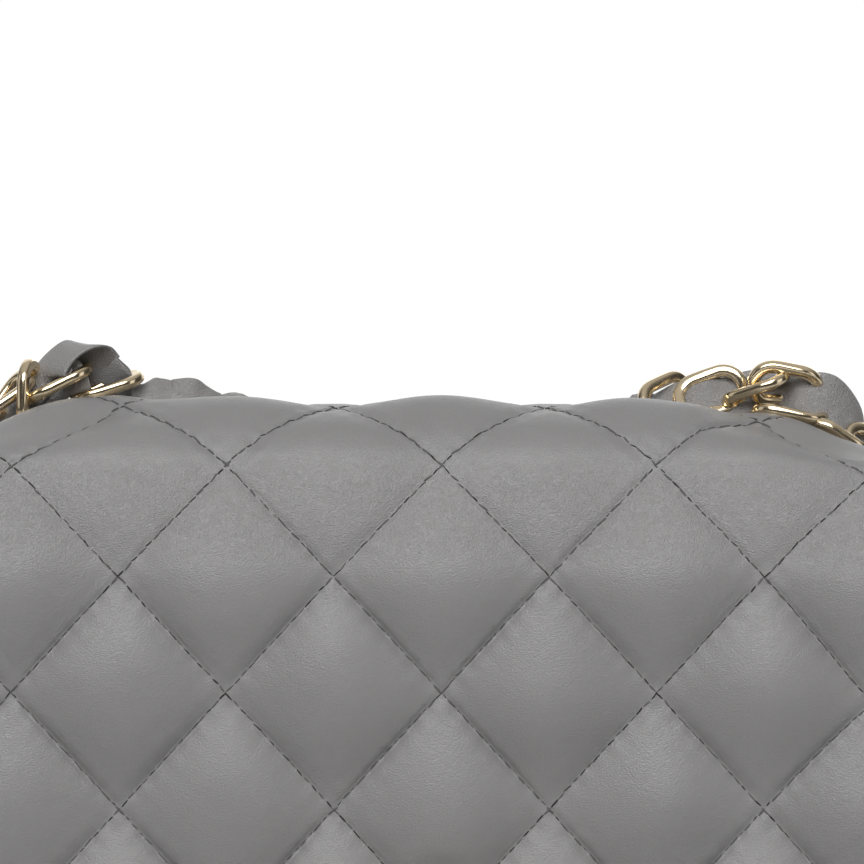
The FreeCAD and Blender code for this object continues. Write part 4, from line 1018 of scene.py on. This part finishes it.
# linings of the front, back and floor
LF_HALF = 102.75
for name, node_name, y_a, y_b, top, r_top, waves in (("lining_front_soft", "lining_front", -14.6, -13.8, 116.0, 27.0, -1.0),
                                                     ("lining_back_soft", "lining_back", 30.7, 31.5, 109.0, 30.0, 1.0)):
    PX_, PZ_, ins = panel_grid(LF_HALF, 5.3, top, 0.5, r_top, 121, 70)
    wav = 0.11 * wave_noise(PX_, PZ_, 91 + int(waves), 22) * smoothstep(ins(PX_, PZ_) / 8.0)
    clear = smoothstep((np.abs(PZ_ - 84.0) - 8.0) / 5.0) if waves > 0 else smoothstep((np.hypot(np.maximum(np.abs(PX_) - 46, 0), np.maximum(np.abs(PZ_ - 61) - 31, 0))) / 5.0)
    show = wav * clear
    a_y = np.full_like(PX_, y_a) + (show if waves > 0 else 0)
    b_y = np.full_like(PX_, y_b) + (show if waves < 0 else 0)
    ob = shell(name, np.stack([PX_, a_y, PZ_], -1), np.stack([PX_, b_y, PZ_], -1), M_LINING, np.stack([PX_, PZ_], -1))
    soft(ob, node_name, "lining")
fy = np.linspace(-13.75, 30.65, 61)
fu = np.linspace(-1, 1, 121)
FU, FYY = np.meshgrid(fu, fy, indexing="ij")
reach = gusset_x(FYY, np.full_like(FYY, 5.0), G_SLAB + 1.0)
FXX = FU * reach
ft_ = 0.10 * wave_noise(FXX, FYY, 97, 20)
floor_lining = shell("lining_floor_soft", np.stack([FXX, FYY, 5.3 + ft_], -1), np.stack([FXX, FYY, np.full_like(FXX, 4.5)], -1), M_LINING, np.stack([FXX, FYY], -1))
soft(floor_lining, "lining_base", "lining")

# open pocket on the front lining: hemmed mouth that stands off a little
KX, KZ, k_in = panel_grid(46.0, 30.0, 92.0, 3.0, 0.5, 91, 60)
mouth = smoothstep((KZ - 62.0) / 30.0) * (1 - (KX / 46.0) ** 2)
hem_k = 0.35 * smoothstep((KZ - 84.6) / 0.8)
k_out = -12.85 + 1.5 * mouth + 0.08 * wave_noise(KX, KZ, 101, 12) + hem_k
k_back = np.minimum(-13.75 + 1.4 * mouth, k_out - 0.6)
pocket = shell("slip_pocket_soft", np.stack([KX, k_back, KZ], -1), np.stack([KX, k_out, KZ], -1), M_LINING, np.stack([KX, KZ], -1))
soft(pocket, "slip_pocket", "lining")


def pocket_line(pts):
    pts = np.asarray(pts, float)
    m = smoothstep((pts[:, 1] - 62.0) / 30.0) * (1 - (pts[:, 0] / 46.0) ** 2)
    y = -12.85 + 1.5 * m + 0.08 * wave_noise(pts[:, 0], pts[:, 1], 101, 12) + 0.35 * smoothstep((pts[:, 1] - 84.6) / 0.8)
    return np.stack([pts[:, 0], y, pts[:, 1]], -1)


u_line = [(-44.0, z) for z in np.linspace(91, 33, 80)] + [(x, 32.0) for x in np.linspace(-43, 43, 120)] + [(44.0, z) for z in np.linspace(33, 91, 80)]
sew("slip_pocket", [(pocket_line(u_line), (0, 1.0, 0)), (pocket_line([(x, 85.8) for x in np.linspace(-43, 43, 120)]), (0, 1.0, 0))],
    "bag_body", seed=103)

# woven zip tape with a raised cord along the teeth
tx = np.linspace(-67.0, 67.0, 181)
tz = np.unique(np.concatenate([np.linspace(77.0, 91.0, 57), [77.2, 90.8]]))
TX, TZ = np.meshgrid(tx, tz, indexing="ij")
tape_wave = 0.05 * wave_noise(TX, TZ, 111, 9)
tape_front = 30.14 + tape_wave + 0.12 * np.exp(-((np.abs(TZ - 84) - 6.8) / 0.25) ** 2)
tape = shell("zip_tape_soft", np.stack([TX, tape_front, TZ], -1), np.stack([TX, np.full_like(TX, 30.72), TZ], -1), M_TAPE, np.stack([TX, TZ], -1))
soft(tape, "zip_tape", "zip_tape")
zl = np.linspace(-65.5, 65.5, 200)
sew("zip_tape", [(np.stack([zl, np.full(200, 30.12), np.full(200, z)], -1), (0, -1.0, 0)) for z in (78.6, 89.4)], "bag_body",
    thread_high=0.14, seed=113)

# --------------------------------------------------------------- chain strap
PITCH = 10.0
LINK_L, LINK_W, WIRE = 15.6, 10.6, 2.5


def at(px, py, y):
    """Point in mm on the depth plane y that the camera sees at a picture position."""
    ce, se = math.cos(CAM_EL), math.sin(CAM_EL)
    loc = np.array(cam.location) / MM
    d = np.array([0, ce, -se]) * CAM_DIST / MM + np.array([1.0, 0, 0]) * (px - 432) * PX + np.array([0, se, ce]) * (432 - py) * PX
    return loc + d * (y - loc[1]) / d[1]


def near_line(q):
    """Arc length of the strap line's point nearest to q."""
    d = np.linalg.norm(line - q, axis=1)
    return float(line_s[int(np.argmin(d))])


def beside_line(q, most):
    """q, kept within a distance of the strap's line."""
    s = near_line(q)
    c = on_line(s)
    off = q - c
    r = np.linalg.norm(off)
    return (c + off * min(1.0, most / max(r, 1e-9))), s


def link_mesh(twist, length=LINK_L, width=LINK_W, n_path=56):
    """One bent-wire link, long axis +X, lying in XY, its bar flattened with narrow facets."""
    rc = (width - WIRE) / 2
    st = (length - WIRE) / 2 - rc
    pts = []
    per = 2 * math.pi * rc + 4 * st
    for k in range(n_path):
        s = per * k / n_path
        if s < math.pi * rc:
            a = -math.pi / 2 + s / rc
            pts.append((st + rc * math.cos(a), rc * math.sin(a)))
        elif s < math.pi * rc + 2 * st:
            pts.append((st - (s - math.pi * rc), rc))
        elif s < 2 * math.pi * rc + 2 * st:
            a = math.pi / 2 + (s - math.pi * rc - 2 * st) / rc
            pts.append((-st + rc * math.cos(a), rc * math.sin(a)))
        else:
            pts.append((-st + (s - 2 * math.pi * rc - 2 * st), -rc))
    pts = np.array(pts)
    tan = unit(np.roll(pts, -1, 0) - np.roll(pts, 1, 0))
    out = np.stack([tan[:, 1], -tan[:, 0]], -1)
    ring = 2 * math.pi * (np.arange(16) + 0.5) / 16
    w, h = WIRE / 2, WIRE / 2 * 0.92
    prof = [(w * math.copysign(abs(math.cos(a)) ** 0.72, math.cos(a)), h * math.copysign(abs(math.sin(a)) ** 0.72, math.sin(a))) for a in ring]
    v = []
    for (x, y), o in zip(pts, out):
        for a, b in prof:
            q = np.array([x + o[0] * a, y + o[1] * a, b])
            ang = math.radians(twist) * x / (length / 2)
            ca, sa = math.cos(ang), math.sin(ang)
            v.append((q[0], q[1] * ca - q[2] * sa, q[1] * sa + q[2] * ca))
    m = len(prof)
    f = [(i * m + k, i * m + (k + 1) % m, ((i + 1) % n_path) * m + (k + 1) % m, ((i + 1) % n_path) * m + k)
         for i in range(n_path) for k in range(m)]
    return np.array(v), f


# Links that show over the two shoulders: picture position, depth, tilt in the picture, turn away, roll about the long axis.
SHOWN_LEFT = [(212, 413, 19.0, -6, 5, 84), (172, 412, 18.0, 4, -5, -84), (107, 387.5, 11.0, 20, 8, -84),
              (58, 384, 9.6, 29, 6, -88), (35, 397, 8.6, 98, 12, 58), (5, 399, 12.0, 45, 10, -82)]
SHOWN_RIGHT = [(667, 401, 15.0, 24, 50, 4), (711, 394, 12.0, 16, 5, -22), (757, 391, 10.6, 30, -26, 76),
               (785, 385, 10.0, -5, 12, 36), (789, 415, 8.6, -3, 4, 86), (836, 441, 9.0, -25, 10, 66), (870, 450, 11.5, -20, 45, -30)]


def shown_link(px, py, y, tilt, turn, roll):
    c, s = beside_line(at(px, py, y), 6.5)
    a, w, r = math.radians(tilt), math.radians(turn), math.radians(roll)
    t = np.array([math.cos(a) * math.cos(w), math.sin(w), math.sin(a) * math.cos(w)])
    n = np.array([0, -1.0, 0])
    n = unit(n - t * n.dot(t))
    b = np.cross(t, n)
    up = n * math.cos(r) + b * math.sin(r)
    return c, t, up, s


def build_chain():
    left = [shown_link(*q) for q in SHOWN_LEFT]
    right = [shown_link(*q) for q in SHOWN_RIGHT]
    s_a, s_b = left[-1][3] + PITCH * 0.95, right[-1][3] - PITCH * 0.95
    n = int(round((s_b - s_a) / PITCH)) + 1
    ats = np.linspace(s_a, s_b, n)
    dense = np.linspace(0, STRAP_LEN, 2600)
    c, t, nn, b = line_frames(dense)
    rng = np.random.default_rng(11)
    places = [(q[0], q[1], q[2]) for q in left]
    flat_ones = {2, 3}
    for k, i in enumerate(np.clip(np.searchsorted(dense, ats), 0, len(dense) - 1)):
        roll = math.radians((45 if k % 2 else -45) + rng.uniform(-4, 4))
        places.append((c[i], t[i], nn[i] * math.cos(roll) + b[i] * math.sin(roll)))
    places += [(q[0], -q[1], q[2]) for q in right[::-1]]
    # first and last links run through the eyelets to the end rings
    for s in (STRAP_LEN - 4.0, 4.0):
        i = int(np.clip(np.searchsorted(dense, s), 0, len(dense) - 1))
        places.append((c[i], t[i], nn[i]))
    turned, lf = link_mesh(20.0)
    even, _ = link_mesh(5.0)
    verts, faces = [], []
    for q, (ctr, tan, up) in enumerate(places):
        lv = even if q in flat_ones else turned
        side = np.cross(up, tan)
        base = len(lv) * q
        verts.append(ctr + lv[:, 0:1] * tan + lv[:, 1:2] * side + lv[:, 2:3] * up)
        faces += [tuple(base + m for m in f) for f in lf]
    verts = np.concatenate(verts)
    verts[:, 2] = np.maximum(verts[:, 2], 0.05)
    return make_mesh("strap_links", verts, faces, M_GOLD), ats, (dense, c, t, nn, b)


links, LINK_AT, FR = build_chain()

# The lace where it shows: picture position, depth, outward direction of its outer face, half width.
LACE_LEFT = [(224, 404, 15.4, (0.1, -0.6, 0.8), 2.6, 0.3), (206, 397, 13.0, (0.3, -0.75, 0.6), 3.2, 0.45), (188, 392, 11.6, (-0.4, -0.75, 0.5), 3.5, 0.5),
             (172, 396, 11.2, (0.35, -0.75, 0.6), 3.4, 0.5), (152, 393, 12.0, (-0.2, -0.8, 0.6), 3.8, 0.4),
             (126, 384, 13.6, (0.6, 0.62, 0.5), 4.4, 0.2), (101, 374, 13.8, (0.20, 0.94, 0.28), 5.6, 0.08),
             (90, 358, 12.7, (0.03, 0.72, 0.69), 5.5, 0.05), (79, 346, 11.2, (0.0, -0.10, 0.98), 5.2, 0.05), (60, 358, 9.8, (-0.56, -0.42, 0.72), 5.3, 0.08),
             (50, 376, 9.0, (-0.64, -0.58, 0.48), 5.6, 0.06), (65, 394, 9.8, (-0.30, -0.92, 0.2), 6.5, 0.05), (55, 409, 9.8, (-0.20, -0.95, 0.2), 5.8, 0.12), (14, 424, 12.0, (-0.15, -0.9, 0.4), 4.6, 0.3)]
LACE_RIGHT = [(650, 402, 15.0, (0.0, -0.4, 0.9), 3.2, 0.15), (682, 399, 13.0, (0.0, -0.9, 0.45), 4.0, 0.15), (710, 399, 11.8, (0.1, -0.9, 0.4), 4.4, 0.15),
              (733, 397, 12.2, (0.2, -0.8, 0.55), 4.8, 0.15), (753, 396, 12.6, (-0.15, -0.84, 0.5), 5.8, 0.12), (777, 402, 12.4, (-0.1, -0.84, 0.5), 5.9, 0.1),
              (800, 398, 9.6, (-0.30, -0.86, 0.4), 5.3, 0.1), (824, 403, 9.0, (0.15, -0.94, 0.3), 6.2, 0.1), (845, 418, 10.2, (0.70, -0.68, 0.2), 5.4, 0.15),
              (857, 442, 12.0, (0.9, -0.40, 0.1), 5.0, 0.15)]


def smooth_through(rows, n=26):
    """Smooth curve through rows of numbers."""
    rows = np.asarray(rows, float)
    ext = np.concatenate([[2 * rows[0] - rows[1]], rows, [2 * rows[-1] - rows[-2]]])
    out = []
    for k in range(1, len(ext) - 2):
        p0, p1, p2, p3 = ext[k - 1:k + 3]
        u = np.linspace(0, 1, n, endpoint=False)[:, None]
        out.append(0.5 * ((2 * p1) + (p2 - p0) * u + (2 * p0 - 5 * p1 + 4 * p2 - p3) * u ** 2 + (3 * p1 - p0 - 3 * p2 + p3) * u ** 3))
    out.append(rows[-1:])
    return np.concatenate(out)


def build_lace():
    """Leather strip woven in and out of the links."""
    dense, c, t, nn, b = FR

    def row(s, bow, roll, wide, thick):
        i = int(np.clip(np.searchsorted(dense, s), 0, len(dense) - 1))
        up = nn[i] * math.cos(roll) + b[i] * math.sin(roll)
        return [*(c[i] + up * bow), *up, wide, thick, 0.25]

    def flat_row(s, wide):
        return [*on_line(s), *unit(np.array([0, -0.35, 0.94])), wide, 0.9, 0.15]

    rows = [row(0.6, 0.0, 0.0, 2.2, 1.2), row(4.6, 0, 0, 2.2, 1.1), flat_row(12.5, 2.6)]
    for px, py, y, n, hw, crumple in LACE_LEFT:
        q, s = beside_line(at(px, py, y), 4.7)
        rows.append([*q, *unit(np.array(n)), hw, 0.8, crumple])
    mid = []
    for k, s in enumerate(LINK_AT[:-1]):
        if k == 0:
            continue
        half = s - 0.5 * (LINK_AT[1] - LINK_AT[0])
        side = 1 if k % 2 else -1
        mid.append(row(half, 0.4 * side, 0.3 * side, 4.3, 0.85))
        mid.append(row(s, 1.9 * side, -0.75 * side, 2.9, 1.0))
    rows += mid
    for px, py, y, n, hw, crumple in LACE_RIGHT[::-1]:
        q, s = beside_line(at(px, py, y), 4.7)
        rows.append([*q, *unit(np.array(n)), hw, 0.8, crumple])
    rows += [flat_row(STRAP_LEN - 12.5, 2.6), row(STRAP_LEN - 4.6, 0, 0, 2.2, 1.1), row(STRAP_LEN - 0.6, 0, 0, 2.2, 1.2)]
    # keep the outer face from turning over between neighbours
    rows = [np.array(r, float) for r in rows]
    for k in range(1, len(rows)):
        if rows[k][3:6].dot(rows[k - 1][3:6]) < -0.35:
            rows[k][3:6] *= -1
    fine = smooth_through(rows, 26)
    pos = fine[:, :3]
    s = np.concatenate([[0], np.cumsum(np.linalg.norm(np.diff(pos, axis=0), axis=1))])
    keep = np.concatenate([[True], np.diff(s) > 1e-6])
    fine, s = fine[keep], s[keep]
    sa = np.arange(0, s[-1], 0.42)
    fine = np.stack([np.interp(sa, s, fine[:, k]) for k in range(9)], -1)
    ctr = fine[:, :3]
    T = unit(np.gradient(ctr, axis=0))
    N = unit(fine[:, 3:6])
    N = unit(N - T * (N * T).sum(-1, keepdims=True))
    W = np.cross(T, N)
    wide, thick = fine[:, 6], fine[:, 7]
    n_ring = 22
    ang = 2 * math.pi * np.arange(n_ring) / n_ring
    px = np.sign(np.cos(ang)) * np.abs(np.cos(ang)) ** 0.55
    py = np.sign(np.sin(ang)) * np.abs(np.sin(ang)) ** 0.75
    # soft rolled edges, thinner in the middle, and slow creases along the strip
    bead = 0.82 + 0.30 * np.abs(px) ** 6
    across = px[None] * wide[:, None]
    crease = fine[:, 8:9] * (1.1 * np.tanh(1.8 * wave_noise(sa[:, None], across, 17, 8.5)) + 0.2 * wave_noise(sa[:, None], across, 19, 4.0))
    V = (ctr[:, None] + W[:, None] * (px[None] * wide[:, None])[..., None] +
         N[:, None] * (py[None] * bead[None] * thick[:, None] + crease)[..., None])
    V[..., 2] = np.maximum(V[..., 2], 0.05)
    # no part of the strip stands further from the strap's line than a folded lace can
    tree = KDTree(len(line))
    for k, q in enumerate(line):
        tree.insert(q, k)
    tree.balance()
    flat_v = V.reshape(-1, 3)
    for k, q in enumerate(flat_v):
        co, _, d = tree.find(q)
        if d > 7.0:
            co = np.array(co)
            flat_v[k] = co + (q - co) * (7.0 + 0.3 * math.tanh((d - 7.0) / 0.6)) / d
    V = flat_v.reshape(V.shape)
    n = len(sa)
    faces = [(i * n_ring + k, i * n_ring + (k + 1) % n_ring, (i + 1) * n_ring + (k + 1) % n_ring, (i + 1) * n_ring + k)
             for i in range(n - 1) for k in range(n_ring)]
    faces += [tuple(range(n_ring))[::-1], tuple(range((n - 1) * n_ring, n * n_ring))]
    uv = np.stack([np.broadcast_to(sa[:, None], (n, n_ring)), px[None] * wide[:, None] + 30.0 * (py[None] < 0)], -1)
    return make_mesh("strap_lace", V.reshape(-1, 3), faces, M_LACE, uv.reshape(-1, 2))


lace = build_lace()
for ob in (links, lace):
    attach(ob, "bag_body")
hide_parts("chain_strap")

# --------------------------------------------------------- CAD pieces' looks
LOOK = {"pale_gold": M_GOLD, "smooth_leather": M_SMOOTH, "lining": M_LINING, "board": M_BOARD, "zip_tape": M_TAPE,
        "quilted_leather": M_LEATHER, "lace_leather": M_LACE}
for row in frame["record"]["subparts"]:
    ob = frame["nodes"][row["node"]]
    ob.data.materials.clear()
    ob.data.materials.append(LOOK[row["material_slot"]])

# ---------------------------------------------------------- light and stage
world = bpy.data.worlds.new("studio")
scene.world = world
world.use_nodes = True
wn = world.node_tree
wn.nodes.clear()
wo = wn.nodes.new("ShaderNodeOutputWorld")
bg = wn.nodes.new("ShaderNodeBackground")
geo = wn.nodes.new("ShaderNodeTexCoord")
sep = wn.nodes.new("ShaderNodeSeparateXYZ")
wn.links.new(geo.outputs["Generated"], sep.inputs[0])
rng_y = wn.nodes.new("ShaderNodeMapRange")
rng_y.interpolation_type = "SMOOTHSTEP"
rng_y.inputs["From Min"].default_value = 0.45
rng_y.inputs["From Max"].default_value = 0.92
rng_y.inputs["To Min"].default_value = 0.06
rng_y.inputs["To Max"].default_value = 1.02
wn.links.new(sep.outputs["Y"], rng_y.inputs["Value"])
rng_z = wn.nodes.new("ShaderNodeMapRange")
rng_z.interpolation_type = "SMOOTHSTEP"
rng_z.inputs["From Min"].default_value = 0.35
rng_z.inputs["From Max"].default_value = 0.95
rng_z.inputs["To Min"].default_value = 0.0
rng_z.inputs["To Max"].default_value = 0.42
wn.links.new(sep.outputs["Z"], rng_z.inputs["Value"])
both = wn.nodes.new("ShaderNodeMath")
both.operation = "ADD"
wn.links.new(rng_y.outputs["Result"], both.inputs[0])
wn.links.new(rng_z.outputs["Result"], both.inputs[1])
wn.links.new(both.outputs[0], bg.inputs["Strength"])
bg.inputs["Color"].default_value = (1, 1, 1, 1)
wn.links.new(bg.outputs[0], wo.inputs["Surface"])


def area(name, loc, target, sx, sy, power):
    li = bpy.data.lights.new(name, "AREA")
    li.shape = "RECTANGLE"
    li.size, li.size_y, li.energy = sx, sy, power
    ob = bpy.data.objects.new(name, li)
    scene.collection.objects.link(ob)
    ob.location = loc
    ob.rotation_mode = "QUATERNION"
    ob.rotation_quaternion = (Vector(target) - Vector(loc)).to_track_quat("-Z", "Y")
    return ob


key = area("key", (-0.12, -1.00, 0.90), (0, -0.02, 0.11), 1.25, 0.70, 4.0)
key.data.spread = math.radians(70)
area("fill", (0.95, -0.5, 0.40), (0, 0.0, 0.10), 0.5, 0.6, 0.8)
area("side", (-1.05, -0.15, 0.45), (0, 0.0, 0.10), 0.5, 0.6, 0.5)
area("rear", (0.25, 1.25, 0.55), (0, 0.03, 0.08), 0.9, 0.4, 1.3)

floor_me = bpy.data.meshes.new("floor")
floor_me.from_pydata([(-1.6, -1.6, 0), (1.6, -1.6, 0), (1.6, 1.6, 0), (-1.6, 1.6, 0)], [], [(0, 1, 2, 3)])
floor = bpy.data.objects.new("floor", floor_me)
scene.collection.objects.link(floor)
floor_me.materials.append(plain("pale_floor", (0.70, 0.70, 0.70), 0.8))
scene.view_settings.view_transform = "Standard"
scene.view_settings.look = "None"
